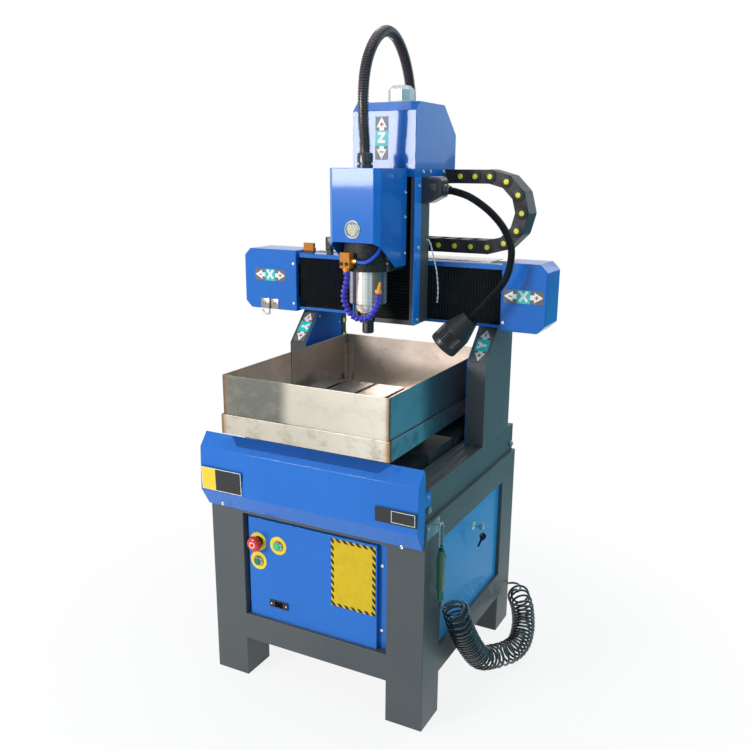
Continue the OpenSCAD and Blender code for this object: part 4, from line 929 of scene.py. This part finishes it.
def makeRearChain():  # the end of a second chain, upright behind the left upright
    rear = chainPlan["rear"]
    bm = bmesh.new()
    for i in range(rear["links"]):
        place = (Matrix.Translation(Vector(rear["start"]) + Vector((0, 0, rear["pitch"] * i)))
                 @ Matrix.Rotation(pi / 2, 4, "Z") @ Matrix.Rotation(-pi / 2, 4, "Y"))
        chainLink(bm, place, rear["pitch"], rear["width"], i % 2)
    toPiece("chainRear", bm, ("chainBlack", "pinYellow"), "frame", 30)


lampPlan = {
    "route": [(.166, .076, 1.291), (.202, .073, 1.285), (.242, .069, 1.272), (.289, .064, 1.244),
              (.326, .059, 1.211), (.348, .054, 1.179), (.36, .049, 1.146), (.357, .042, 1.099),
              (.341, .035, 1.061), (.308, .029, 1.021), (.286, .025, .996), (.27, .0218, .9776)],
    "start": (.27, .0218, .9776), "end": (.202, .005, .902), "radius": .0095, "rib": .003,
    "steps": 120, "groove": .0022, "grooved": (.0525, .0855),  # along the shade
    "socket": [((-.012, .0765, 1.2935), (.008, .0755, 1.2905), .0135, 32, .0015),
               ((.004, .0757, 1.2912), (.016, .0748, 1.2895), .0112, 32, .001)]}  # from the base's side


def makeLamp():
    line = spaced(eased(lampPlan["route"], 10), lampPlan["rib"] / 2)
    radii = [lampPlan["radius"] if i % 2 else lampPlan["radius"] * .9 for i in range(len(line))]
    neck = tube("gooseneckRibbed", line, radii, "neckBlack", 3, "carriage")
    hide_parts("gooseneck")

    start, end = Vector(lampPlan["start"]), Vector(lampPlan["end"])
    long = (end - start).length
    profile = [(0, .006), (.0108, .006), (.0112, .0005), (.015, 0.0), (.0155, .003), (.019, .003),
               (.0195, .0005), (.0222, .001), (.024, .005), (.0262, .012), (.0322, .03), (.0366, .044),
               (.038, .0485), (.0384, .05), (.0384, .052), (.0386, .053), (.0388, .085), (.0389, .086),
               (.039, long - .003), (.0382, long - .001), (.0352, long), (.0345, long - .002),
               (.0315, long - .013), (0, long - .0138)]
    bm = spun(profile, steps=lampPlan["steps"])
    fluted(bm, (0, 0), lampPlan["steps"], 3, 1, lampPlan["groove"], (.03, 1), lampPlan["grooved"])
    bmesh.ops.transform(bm, matrix=aimed(start, end - start), verts=bm.verts)
    toPiece("lampShade", bm, "lampBlack", "carriage", 30, "lamp_head")
    lens = spun([(0, long - .01), (.012, long - .0105), (.024, long - .0118), (.0305, long - .0134),
                 (.0305, long - .0138), (0, long - .0138)], aimed(start, end - start), 40)
    toPiece("lampLens", lens, "white", "carriage")

    low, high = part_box("lamp_base")
    softened("lamp_base", "baseBlack", .005, 3)
    bm = bmesh.new()
    # strap round the base and the socket of the neck
    block(bm, (low.x + .001, low.y - .0012, high.z - .034),
          (high.x - .012, high.y - .0002, high.z - .016), .0015)
    side = Vector((high.x, 0, 0))
    for near, far, *rest in lampPlan["socket"]:
        drum(bm, side + Vector(near), side + Vector(far), *rest)
    toPiece("lampBracket", bm, "baseBlack", "carriage")


spindlePlan = {
    "body": [(.0121, 0), (.0205, 0), (.0225, .0015), (.0225, .004), (.0262, .004), (.0278, .0055),
             (.0278, .0115), (.03, .012), (.0335, .013), (.0335, .019), (.0325, .0195), (.0325, .0205),
             (.0335, .021), (.0335, .024), (.0455, .0245), (.0475, .027), (.0475, .047), (.0471, .0475),
             (.0471, .0485), (.0475, .049)],
    "nut": [(.003, .032), (.003, .0005), (.0042, 0), (.0125, 0), (.014, .0012), (.015, .003),
            (.015, .0275), (.0145, .0283), (.0168, .0283), (.018, .0295), (.018, .052), (.0165, .0526),
            (.0118, .0526), (.0118, .1), (0, .1)],
    "steps": 96, "slots": 6, "slot": .0022, "slotted": (.002, .028)}


def makeSpindle():
    low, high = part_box("spindle")
    centre, long, steps = (low + high) / 2, high.z - low.z, spindlePlan["steps"]
    top = [(.0475, long - .004), (.0435, long), (.0121, long)]
    bm = spun(spindlePlan["body"] + top, Matrix.Translation((centre.x, centre.y, low.z)), steps)
    toPiece("spindleTurned", bm, "spindleSteel", "head", 25, "spindle")
    bm = spun(spindlePlan["nut"], steps=steps)
    # spanner slots round the nut
    fluted(bm, (0, 0), steps, steps // spindlePlan["slots"], 3, spindlePlan["slot"], (.0138, .0152),
           spindlePlan["slotted"])
    place = Matrix.Translation((centre.x, centre.y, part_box("collet_nut")[0].z))
    bmesh.ops.transform(bm, matrix=place, verts=bm.verts)
    toPiece("nutSlotted", bm, "darkSteel", "rotor", 28, "collet_nut")


hosePlan = {
    "route": [(-.0005, 1.096), (.0035, 1.08), (0, 1.066), (-.005, 1.052), (-.0075, 1.037), (-.007, 1.023),
              (-.002, 1.009), (.005, .997), (.015, .988), (.028, .981), (.043, .979), (.058, .983),
              (.069, .99), (.077, 1.001), (.084, 1.014), (.088, 1.031), (.089, 1.047)],
    "y": -.139, "segment": .0118, "radius": .0085, "tipLean": 12}


def makeCoolantHose():
    line = spaced(eased([(x, hosePlan["y"], z) for x, z in hosePlan["route"]], 12), hosePlan["segment"])
    r = hosePlan["radius"]
    bm = bmesh.new()
    for i, (point, ahead, side, up) in enumerate(frames(line, (0, 1, 0))[:-1]):
        way = line[i + 1] - point
        long = way.length
        gather(bm, spun([(r * .42, -.0004), (r * .55, long * .08), (r * .98, long * .26), (r, long * .36),
                         (r * .97, long * .5), (r * .6, long * .86), (r * .42, long)],
                        placed(side, up, way.normalized(), point), 24))
    # stem in the block
    first = line[0]
    drum(bm, first - Vector((0, 0, .004)), (first.x, first.y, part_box("coolant_hose")[1].z), .005, 20)
    tip = Matrix.Rotation(radians(hosePlan["tipLean"]), 4, "Y") @ Vector((0, 0, 1))
    gather(bm, spun([(.0045, -.001), (.0074, 0.0), (.0083, .002), (.0084, .005), (.0076, .0078),
                     (.0052, .0094), (.0044, .011), (.003, .0272), (.0024, .028), (.0018, .0272),
                     (.0016, .012), (0, .012)], aimed(line[-1], tip), 28), 1)
    gather(bm, spun([(.004, -.002), (.0058, -.0015), (.0066, .003), (.0083, .006), (.0084, .01),
                     (.0078, .012), (.005, .0125)],
                    aimed((first.x, first.y, first.z - .0035), (0, 0, 1)), 28), 1)
    toPiece("coolantSegments", bm, ("violet", "orange"), "nozzle", 40, "coolant_hose")

    softened("coolant_block", "amber", .0015)
    low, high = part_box("coolant_block")
    rows = [((low.x + x, low.y + .0004, low.z + .0105), (0, -1, 0), .0046, .003) for x in (.0045, .0195)]
    screws("coolantFittings", rows, "blackPlastic", "head", 35)
    nut = spun([(.005, 0), (.0074, 0), (.0074, .007), (.0066, .0076), (.005, .0076)],
               aimed((high.x - .007, hosePlan["y"], low.z + .017), (1, 0, 0)), 32)
    toPiece("coolantNut", nut, "brass", "head")


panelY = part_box("control_panel")[0].y
stopAt, startAt, lightAt = (-.17, .4015), (-.108, .402), (-.1705, .347)
buttonPlan = {
    "mushroom": [(0, -.025), (.0059, -.025), (.0059, .0095), (.0135, .01), (.0178, .0118), (.0196, .0145),
                 (.02, .018), (.0197, .021), (.0182, .0245), (.0155, .0272), (.012, .0287),
                 (.0085, .0284), (.0045, .0279), (0, .0277)],
    "mark": [(.006, .0276), (.006, .0292), (.0072, .0295), (.0084, .0292), (.0084, .0276)],
    "lens": [(0, -.012), (.0099, -.012), (.0099, .007), (.0094, .0085), (.008, .0096), (.005, .0099),
             (0, .01)],
    "stopCollar": [(.006, .0002), (.006, .0008), (.013, .002), (.0148, .003), (.015, .0012),
                   (.015, .0002)],
    "bezel": [(.0103, .0002), (.0103, .0064), (.011, .0074), (.0122, .0074), (.0136, .0055),
              (.0145, .003), (.0145, .0002)],
    "legend": [(.0147, .0001), (.0147, .0009), (.0248, .0009), (.025, .0007), (.025, .0001)],
    "inlet": (-.109, .234), "inletScrews": .0225}


def onPanel(x, z):  # Z of the frame points out of the panel
    return Matrix.Translation((x, panelY, z)) @ Matrix.Rotation(pi / 2, 4, "X")


def makeButtons():
    mushroom = spun(buttonPlan["mushroom"], onPanel(*stopAt), 72)
    toPiece("stopMushroom", mushroom, "red", "stop_button", 40, "e_stop_head")
    for name, at, finishName in (("start", startAt, "green"), ("light", lightAt, "darkGreen")):
        lens = spun(buttonPlan["lens"], onPanel(*at), 56)
        toPiece(name + "Lens", lens, finishName, name + "_button", 45, name + "_cap")
    mark = spun(buttonPlan["mark"], onPanel(*stopAt), 48)
    toPiece("stopMark", mark, "white", "stop_button", 30)
    bezels = spun(buttonPlan["stopCollar"], onPanel(*stopAt), 56)
    for at in (startAt, lightAt):
        gather(bezels, spun(buttonPlan["bezel"], onPanel(*at), 56))
    toPiece("buttonBezels", bezels, "bright", "frame", 30)
    legends = bmesh.new()
    for at in (stopAt, startAt, lightAt):  # the round yellow plates
        gather(legends, spun(buttonPlan["legend"], onPanel(*at), 72))
    toPiece("buttonLegends", legends, "yellow", "frame", 30)
    dress(frame["nodes"]["button_bodies"], "blackPlastic")
    softened("power_inlet", "blackPlastic", .0012, 2)
    (x, z), away = buttonPlan["inlet"], buttonPlan["inletScrews"]
    rows = [((x + side * away, panelY - .0029, z), (0, -1, 0), .0026, .001) for side in (-1, 1)]
    screws("inletScrews", rows, "bright", "frame", sharp=35)


def gapTo(value, low, high):  # how far inside two limits
    return (value - low).least(high - value)


posterPlan = {"corners": ((.05, .276), (.175, .46)), "thick": .0008, "margin": .0085, "dash": .019}


def makePoster():  # a plain field with a dashed border
    (x0, z0), (x1, z1) = posterPlan["corners"]
    finish = Finish("posterField", (.85, .57, .03), .42, specular=.2)
    edge = gapTo(finish.x, x0, x1).least(gapTo(finish.z, z0, z1))
    dashes = ((finish.x + finish.z) / posterPlan["dash"]).part() > .46
    worn = finish.noise(60, 4)
    field = finish.mix(worn.between(.3, .8), (.68, .46, .014), (.6, .4, .012))
    border = (edge < posterPlan["margin"]) * dashes
    finish.put({"Base Color": finish.mix(border, field, (.012, .012, .013)), "Roughness": .36 + worn * .12})
    finish.bump(worn, .05, .0004)
    bm = bmesh.new()
    block(bm, (x0, panelY - posterPlan["thick"], z0), (x1, panelY + .0002, z1), .0003, 1)
    toPiece("panelPoster", bm, "posterField", "frame")


placardPlan = {  # the cover's slope; then corners in x and up the slope, and the white line's two edges
    "foot": (0, -.358, .54), "head": (0, -.354, .654), "split": .36,
    "placardLeft": (-.304, -.178, .002, .065, (.0012, .003)),
    "placardRight": (.2, .306, .017, .054, (.0038, .0052))}


def makePlacards():
    foot, head = Vector(placardPlan["foot"]), Vector(placardPlan["head"])
    up = (head - foot).normalized()
    lean = Matrix.Translation(foot) @ Matrix.Rotation(atan2(-up.y, up.z) * -1, 4, "X")
    for name in ("placardLeft", "placardRight"):
        x0, x1, z0, z1, (outer, inner) = placardPlan[name]
        finish = Finish(name + "Field", (.02, .02, .02), .4)
        edge = gapTo(finish.x, x0, x1).least(gapTo(finish.z, foot.z + z0, foot.z + z1))
        worn = finish.noise(60, 3)
        split = x0 + (x1 - x0) * placardPlan["split"]
        if name == "placardLeft":
            yellowPart = (finish.x < split) * (edge > inner)
            colour = finish.mix(yellowPart, (.012, .012, .014), (.8, .56, .03))
        else:
            colour = (.014, .014, .016)
            edge = edge.least(finish.x - split)
        rule = (edge < inner) * (edge > outer)
        finish.put({"Base Color": finish.mix(rule, colour, (.7, .7, .68)), "Roughness": .34 + worn * .14})
        finish.bump(worn, .05, .0004)
        bm = bmesh.new()
        block(bm, (x0, -.0008, z0), (x1, .0002, z1), .0003, 1)
        bmesh.ops.transform(bm, matrix=lean, verts=bm.verts)
        toPiece(name, bm, name + "Field", "frame")


letters = {"X": [((-.4, -.5), (.4, .5)), ((-.4, .5), (.4, -.5))],
           "Y": [((-.4, .5), (0, 0)), ((.4, .5), (0, 0)), ((0, 0), (0, -.5))],
           "Z": [((-.4, .5), (.4, .5)), ((.4, .5), (-.4, -.5)), ((-.4, -.5), (.4, -.5))]}


def stroke(bm, a, b, width, height):  # a bar from a to b in the XY plane
    a, b = Vector((*a, 0)), Vector((*b, 0))
    way = (b - a).normalized()
    place = Matrix.Translation((a + b) / 2) @ Matrix.Rotation(atan2(way.y, way.x), 4, "Z")
    size = Matrix.Diagonal(((b - a).length + width * .6, width, height, 1))
    bmesh.ops.create_cube(bm, size=1, matrix=place @ size)


def axisPlate(name, letter, long, wide, place, body, turn=0):  # long runs along X of the plate
    # the side of the plus sign, and the stroke that the minus sign keeps
    plus, along = (-1, 0) if letter == "Y" else (1, 1 if letter == "Z" else 0)
    parts = {finishName: bmesh.new() for finishName in ("plateGrey", "teal", "white", "signRed")}
    block(parts["plateGrey"], (-long / 2, -wide / 2, 0), (long / 2, wide / 2, .0006), .0002, 1)
    square = wide * .5
    block(parts["teal"], (-square, -wide / 2, .0005), (square, wide / 2, .0009), .0001, 1)
    size = wide * (.66 if letter == "X" else .54)
    spin = Matrix.Rotation(turn, 4, "Z") @ Matrix.Translation((0, wide * .05, 0))
    for index, pair in enumerate(letters[letter]):
        a, b = [(spin @ Vector((x * size, y * size, 0)))[:2] for x, y in pair]
        stroke(parts["white"], a, b, wide * .2, .0005 + .0001 * index)
    bmesh.ops.translate(parts["white"], vec=(0, 0, .0011), verts=parts["white"].verts)
    for side in (-1, 1):
        arrow = bmesh.new()
        middle = long / 2 - wide * .48
        stroke(arrow, (side * (square + wide * .12), 0), (side * middle, 0), wide * .36, .0002)
        bmesh.ops.create_cone(arrow, cap_ends=True, segments=3, radius1=wide * .46, radius2=wide * .46,
                              depth=.0004, matrix=Matrix.Translation((side * middle, 0, 0))
                              @ Matrix.Rotation(-side * pi / 2, 4, "Z"))
        bmesh.ops.translate(arrow, vec=(0, 0, .0008), verts=arrow.verts)
        gather(parts["white"], arrow)
        sign = bmesh.new()
        at = side * (middle - wide * .04)
        ends = ((at - wide * .12, 0), (at + wide * .12, 0)), ((at, -wide * .12), (at, wide * .12))
        for index, (a, b) in enumerate(ends):
            if side == plus or index == along:
                stroke(sign, a, b, wide * .08, .0005 + .0001 * index)
        bmesh.ops.translate(sign, vec=(0, 0, .0011), verts=sign.verts)
        gather(parts["signRed"], sign)
    whole = bmesh.new()
    for index, part in enumerate(parts.values()):
        gather(whole, part, index)
    bmesh.ops.transform(whole, matrix=place, verts=whole.verts)
    toPiece(name, whole, tuple(parts), body, 30)


axisPlan = {
    "left": (-.3935, 1.0375), "right": (.3805, 1.0295), "tower": (.017, 1.415), "size": (.105, .034),
    "towerSize": (.104, .0362), "slopeSize": (.1, .036), "slope": ((0, .06, .853), (0, .137, .935))}


def makeAxisPlates():
    facing = Matrix.Rotation(pi / 2, 4, "X")
    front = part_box("left_end_cover")[0].y
    for name, (x, z) in (("plateXLeft", axisPlan["left"]), ("plateXRight", axisPlan["right"])):
        axisPlate(name, "X", *axisPlan["size"], Matrix.Translation((x, front, z)) @ facing, "frame")
    x, z = axisPlan["tower"]
    upright = facing @ Matrix.Rotation(pi / 2, 4, "Z")
    place = Matrix.Translation((x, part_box("tower_cover")[0].y, z)) @ upright
    axisPlate("plateZ", "Z", *axisPlan["towerSize"], place, "carriage", -pi / 2)
    # on the slopes of the uprights
    low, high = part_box("right_upright")
    foot, head = [Vector(point) for point in axisPlan["slope"]]
    slope, side, middle = (head - foot).normalized(), Vector((1, 0, 0)), (foot + head) / 2
    for name, x in (("plateYLeft", -(low.x + high.x) / 2), ("plateYRight", (low.x + high.x) / 2)):
        place = placed(slope, -side, side.cross(slope), (x, middle.y, middle.z))
        axisPlate(name, "Y", *axisPlan["slopeSize"], place, "frame", pi if x < 0 else 0)


badgePlan = {
    "at": (.023, 1.198), "field": .012, "band": .016,
    "ring": [(.0176, .0001), (.0176, .0014), (.0184, .0022), (.0196, .0018), (.0208, .0022),
             (.022, .001), (.022, .0001)],
    "disc": [(0, .0012), (.0118, .0012), (.0122, .0008), (.0175, .0008), (.0175, .0001)]}


def makeBadge():  # a ring round a plain field, with generic marks
    x, z = badgePlan["at"]
    place = Matrix.Translation((x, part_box("head_cover")[0].y, z)) @ Matrix.Rotation(pi / 2, 4, "X")
    finish = Finish("badgeField", (.5, .5, .4), .4)
    across, rise = finish.x - x, finish.z - z
    reach = finish.node("Math", {"operation": "SQRT"}, {0: across * across + rise * rise})
    angle = finish.node("Math", {"operation": "ARCTAN2"}, {0: rise, 1: across})
    specks = finish.noise(420, 3).between(.45, .55)
    field = finish.mix(specks * .55, (.56, .54, .36), (.1, .13, .1))
    band = finish.mix((angle * 3.2).sine() > .1, (.06, .07, .06), (.16, .42, .44))
    band = finish.mix((specks > .6) * .7, band, (.62, .62, .58))
    field = finish.mix(reach > badgePlan["field"], field, band)
    finish.put({"Base Color": finish.mix(reach > badgePlan["band"], field, (.03, .03, .03)),
                "Roughness": .3 + specks * .1})
    finish.bump(specks, .2, .0004)
    toPiece("badgeRing", spun(badgePlan["ring"], place, 64), "bright", "head", 20)
    toPiece("badgeDisc", spun(badgePlan["disc"], place, 64), "badgeField", "head", 30)


motorPlan = {
    "y": .111, "cut": .001,  # the middle of the cap, and the body's top above the cover
    # half width, foot and top above the cover (none is the motor's own), rim and finish
    "caps": [(.0306, .008, None, .0105, 0), (.031, .0005, .0078, .0008, 1)],
    "corner": .0155, "screws": .015,
    "plug": [(0, 0), (.0085, 0), (.0085, .0042), (.0078, .005), (.004, .005), (.004, .0056), (0, .0058)],
    "collarY": .168,
    "collar": [(.0136, 0), (.0159, 0), (.0159, .0052), (.0148, .0066), (.0148, .0086), (.0136, .0086)]}


def makeMotor():
    low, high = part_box("z_motor")
    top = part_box("tower_cover")[1].z
    body = bmesh.new()
    body.from_mesh(frame["nodes"]["z_motor"].data)
    cut = bmesh.ops.bisect_plane(body, geom=body.verts[:] + body.edges[:] + body.faces[:], clear_outer=True,
                                 plane_co=(0, 0, top + motorPlan["cut"]), plane_no=(0, 0, 1))
    rim = [item for item in cut["geom_cut"] if isinstance(item, bmesh.types.BMEdge)]
    bmesh.ops.holes_fill(body, edges=rim)
    toPiece("motorBody", body, "motorBlack", "carriage", 35, "z_motor")
    x, y = (low.x + high.x) / 2, motorPlan["y"]
    cap = bmesh.new()
    for half, under, over, rim, index in motorPlan["caps"]:
        z0, z1 = top + under, top + over if over else high.z - .0004
        box = bmesh.new()
        block(box, (x - half, y - half, z0), (x + half, y + half, z1))
        uprights = [edge for edge in box.edges if abs(edge.verts[0].co.z - edge.verts[1].co.z) > .001]
        bevelled(box, uprights, motorPlan["corner"], 1, False)
        edges = [edge for edge in box.edges if min(vert.co.z for vert in edge.verts) > z1 - 1e-6]
        bevelled(box, edges, rim, 1, False)
        gather(cap, box, index)
    away = motorPlan["screws"]
    for sx, sy in ((-1, -1), (-1, 1), (1, -1), (1, 1)):
        spot = Vector((x + sx * away, y + sy * away, high.z))
        drum(cap, spot - Vector((0, 0, .002)), spot, .0024, 16)
    toPiece("motorCap", cap, ("capSilver", "paleGreen"), "carriage", 25)
    plug = spun(motorPlan["plug"], Matrix.Translation((x, y - .004, high.z - .0056)), 32)
    toPiece("capPlug", plug, "brass", "carriage", 30)
    collar = spun(motorPlan["collar"], Matrix.Translation((x, motorPlan["collarY"], top)), 40)
    toPiece("capCollar", collar, "conduitBlack", "carriage", 30)


def makeHook():
    dress(frame["nodes"]["air_hook"], "ground")
    low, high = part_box("air_hook")
    rows = [((.312, y, high.z - .01), (1, 0, 0), .0036, .0026) for y in (low.y + .007, high.y - .007)]
    screws("hookScrews", rows, "ground", "frame", sharp=35)


lockPlan = {
    "x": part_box("side_panel")[1].x, "y": .015, "z": .42, "bow": (.024, .0092),
    "face": [(0, .0044), (.004, .0044), (.0045, .0036), (.009, .0036), (.0112, .0026), (.0119, .0012),
             (.0119, .0002)],
    "ring": (.028, .0142, .0088, .0009),  # out, down, radius and wire
    "spare": (.029, .027, 20, .0125)}  # out, down, lean and size of the head


def makeLock():  # the face of the lock, the key in it, its ring and the spare key
    x, y, z = lockPlan["x"], lockPlan["y"], lockPlan["z"]
    face = spun(lockPlan["face"], aimed((x, y, z), (1, 0, 0)), 48)
    block(face, (x + .004, y - .0009, z - .0036), (x + .015, y + .0009, z + .0036), .0004, 1)
    out, radius = lockPlan["bow"]
    bow = bmesh.new()
    drum(bow, (x + out, y - .001, z), (x + out, y + .001, z), radius, 28, .0006)
    gather(face, bow)
    toPiece("lockFace", face, "bright", "lock", 30, "lock_cylinder")
    out, down, radius, wire = lockPlan["ring"]
    ring = [(x + out, y + radius * sin(t * pi / 8), z - down + radius * cos(t * pi / 8)) for t in range(17)]
    tube("keyRing", eased(ring, 3), wire, "bright", 3, "lock")
    # spare key: a broad head, narrower towards its blade, hanging askew
    out, down, lean, radius = lockPlan["spare"]
    key = bmesh.new()
    head = bmesh.ops.create_cone(key, cap_ends=True, segments=8, radius1=radius, radius2=radius,
                                 depth=.0022, matrix=Matrix.Rotation(pi / 2, 4, "X"))["verts"]
    for vert in head:
        vert.co.x *= .75 + vert.co.z * 22
    corners = [edge for edge in edgesAt(head) if abs(edge.verts[0].co.y - edge.verts[1].co.y) > .001]
    bevelled(key, corners, .002, clamp=False)
    block(key, (-.0028, -.0009, -.033), (.0028, .0009, -.004), .0004, 1)
    place = Matrix.Translation((x + out, y, z - down)) @ Matrix.Rotation(radians(lean), 4, "Y")
    bmesh.ops.transform(key, matrix=place, verts=key.verts)
    toPiece("spareKey", key, "keyBlack", "lock", 30)


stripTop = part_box("beam_strips")[1].z
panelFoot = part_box("control_panel")[0].z
fittings = {  # finish, slot, then low corner, high corner, bevel and its segments of each block
    "limitBlock": ("amber", "screw_steel", [((-.286, .1125, 1.113), (-.252, .124, 1.135), .0015, 1)]),
    "limitSwitch": ("blackPlastic", "drive_case", [
        ((-.213, .114, 1.117), (-.194, .133, 1.154), .0015, 2),
        ((-.211, .1125, 1.121), (-.196, .114, 1.133), .0006, 1)]),
    "limitFeet": ("frameBlack", "drive_case", [
        ((-.284, .114, stripTop), (-.254, .1236, 1.1132), .0006, 1),
        ((-.211, .1155, stripTop), (-.196, .132, 1.1172), .0006, 1)]),
    "panelGussets": ("standGrey", "stand_paint", [
        ((x - .0012, panelY + .016, panelFoot + .0005),
         (x + .0012, panelY + .045, panelFoot + .03), .0005, 1)
        for x in (-.2085, .2085)])}
catchPlan = {
    "x": -.3976, "z": (.9385, .968), "reach": (.003, .0305), "screw": (.0185, .954),
    "hook": [(0, -.003, .939), (0, -.0032, .929), (-.003, -.0034, .9235), (-.01, -.0036, .9205),
             (-.018, -.0036, .923), (-.0235, -.0036, .929), (-.0255, -.0036, .934)], "wire": .0024}
lugs = ((.302, -.289, .578), (.302, .292, .571))


def makeBlocks(name):
    finishName, slot, rows = fittings[name]
    bm = bmesh.new()
    for row in rows:
        block(bm, *row)
    toPiece(name, bm, finishName, "frame")


def makeFittings():
    for name in ("limitBlock", "limitSwitch", "limitFeet"):
        makeBlocks(name)
    # the catch on the left cover: two plates, the pin between them and its wire hook
    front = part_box("left_end_cover")[0].y
    middle, (z0, z1) = catchPlan["x"], catchPlan["z"]
    screwX, screwZ = catchPlan["screw"]
    bm = bmesh.new()
    for side in (-1, 1):
        x = sorted(middle + side * reach for reach in catchPlan["reach"])
        block(bm, (x[0], front - .0022, z0), (x[1], front - .0002, z1), .0009, 2)
        screw(bm, (middle + side * screwX, front - .0022, screwZ), (0, -1, 0), .0046, .002)
    drum(bm, (middle, front - .003, z0 - .002), (middle, front - .003, z1 - .001), .0029, 24, .0006)
    toPiece("catchPlates", bm, "catchSteel", "frame", 30)
    hook = eased([(middle + x, front + y, z) for x, y, z in catchPlan["hook"]], 6)
    tube("catchHook", hook, catchPlan["wire"], "ground", 4, "frame")
    # corner lugs of the bed, and the blocks in the corners of the panel
    bm = bmesh.new()
    for x, y, z in lugs:
        drum(bm, (x - .002, y, z), (x + .005, y, z), .009, 24, .001)
        screw(bm, (x + .005, y, z), (1, 0, 0), .005, .003)
    toPiece("bedLugs", bm, "ground", "frame")
    makeBlocks("panelGussets")


screwPlan = {
    "lip": ((-.2429, .5095), (.2677, .5034)), "sheet": (.1361, .9214),
    "towerY": (.061, .1055, .19, .245), "towerZ": 1.3345,
    "plateY": .036, "plateZ": (.958, 1.1455, 1.3),
    "headZ": (1.134, 1.2241, 1.2846), "plug": (-.078, 1.3215, .006),
    "clamp": (.0865, -.085, (1.114, 1.182)),
    "small": (.0044, .0024), "side": (.0044, .0026), "large": (.0056, .0046)}  # radius and height


def makeScrews():
    dress(frame["nodes"]["cover_screws"], "bright")
    small, side, large = screwPlan["small"], screwPlan["side"], screwPlan["large"]
    rows = [((x, -.3545, z), (0, -1, 0), *small) for x, z in screwPlan["lip"]]
    screws("lipScrews", rows, "bright", "frame")
    y, z = screwPlan["sheet"]
    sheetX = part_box("upright_sheets")[0].x + .002
    screws("sheetScrew", [((sheetX, y, z), (1, 0, 0), *small)], "bright", "frame")

    def bothSides(node, spots):  # the same screws on the left and right faces of a cover
        low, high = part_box(node)
        return [((high.x if way > 0 else low.x, y, z), (way, 0, 0), *side)
                for y, z in spots for way in (-1, 1)]

    rows = bothSides("tower_cover", [(y, screwPlan["towerZ"]) for y in screwPlan["towerY"]])
    rows += bothSides("z_side_plates", [(screwPlan["plateY"], z) for z in screwPlan["plateZ"]])
    screws("carriageScrews", rows, "bright", "carriage")
    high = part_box("head_cover")[1]
    rows = bothSides("head_cover", [(high.y - .009, z) for z in screwPlan["headZ"]])
    screws("headScrews", rows, "bright", "head")
    y, z, radius = screwPlan["plug"]
    bm = bmesh.new()
    drum(bm, (high.x - .001, y, z), (high.x + .0006, y, z), radius, bevel=.0003)
    # the plug takes the lit copy of the blue: painted light
    toPiece("headPlug", bm, "blueLit", "head")
    x, y, heights = screwPlan["clamp"]
    rows = [((x, y, z), (0, -1, 0), *large) for z in heights]
    screws("clampScrews", rows, "darkSteel", "head")


slopePlan = {"half": .228, "deep": .021, "lean": 1.333, "step": .0014, "edge": .0006}


def lowerMiddle(piece):  # the middle of the front cover's upper slope lies deeper, clear of the tray, in a darker blue that is the tray's painted shadow
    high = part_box("front_cover")[1]
    half, deep, lean = slopePlan["half"], slopePlan["deep"], slopePlan["lean"]
    bm = bmesh.new()
    bm.from_mesh(piece.data)
    for spot, way in (((0, 0, high.z - deep), (0, 0, 1)), ((half, 0, high.z), (1, 0, -lean)),
                      ((-half, 0, high.z), (-1, 0, -lean))):
        bmesh.ops.bisect_plane(bm, geom=bm.verts[:] + bm.edges[:] + bm.faces[:],
                               plane_co=spot, plane_no=way)
    middle = [face for face in bm.faces if face.normal.y < -.3 and face.normal.z > .2
              and face.calc_center_median().z > high.z - deep
              and abs(face.calc_center_median().x) < half - (high.z - face.calc_center_median().z) * lean]
    bmesh.ops.inset_region(bm, faces=middle, thickness=slopePlan["edge"], depth=-slopePlan["step"],
                           use_even_offset=True, use_boundary=True)
    # painted shadow of the tray: the deeper middle takes the darker blue
    for face in middle:
        face.material_index = 1
    bm.to_mesh(piece.data)
    bm.free()
    dress(piece, "blue", "blueShade")


folded = {  # the CAD shapes that stay, with their finish and the rounding of their long edges
    # the side panel, upright sheets, carriage side plates, right upright and carriage frame take lit or shaded
    # copies of their paint: painted light and painted shade
    "front_cover": ("blue", .0022), "control_panel": ("blue", .002), "side_panel": ("panelBlue", .0015),
    "head_cover": ("blue", .0028), "tower_cover": ("blue", .0026), "left_end_cover": ("blue", .0024),
    "right_end_cover": ("blue", .0024), "z_side_plates": ("blueLit", .001),
    "upright_sheets": ("sheetBlue", .0008), "cabinet_panels": ("blue", .001),
    "beam_strips": ("blue", .0008), "chain_tray": ("zinc", .001), "stand": ("standGrey", .004),
    "bed": ("bedGrey", .0022),
    "left_upright": ("castingGrey", .0025), "right_upright": ("uprightGrey", .0025),
    "beam": ("castingGrey", .0025), "z_frame": ("carriageGrey", .0016),
    "table_saddle": ("castingGrey", .0015), "spindle_clamp": ("roughCasting", .0014),
    "t_slot_table": ("milled", .0006), "tray_pan": ("panSteel", .0008), "splash_box": ("boxSteel", .0008),
    "axis_motors": ("motorBlack", .0015), "cabinet_electrics": ("ground", .0012)}


def dressFrame():
    for node, (finishName, width) in folded.items():
        piece = softened(node, finishName, width)
        if node == "front_cover":
            lowerMiddle(piece)
    for node in ("linear_rails", "x_screw", "y_screw", "z_screw"):
        dress(frame["nodes"][node], "ground")


makeBellows()
makeChain()
makeRearChain()
makeLamp()
print("bellows, chain and lamp made")
makeSpindle()
makeCoolantHose()
makeMotor()
makeHook()
makeLock()
print("spindle, motor and air line made")
makeButtons()
makePoster()
makePlacards()
makeAxisPlates()
makeBadge()
makeFittings()
makeScrews()
dressFrame()
print("panel, plates and frame dressed")
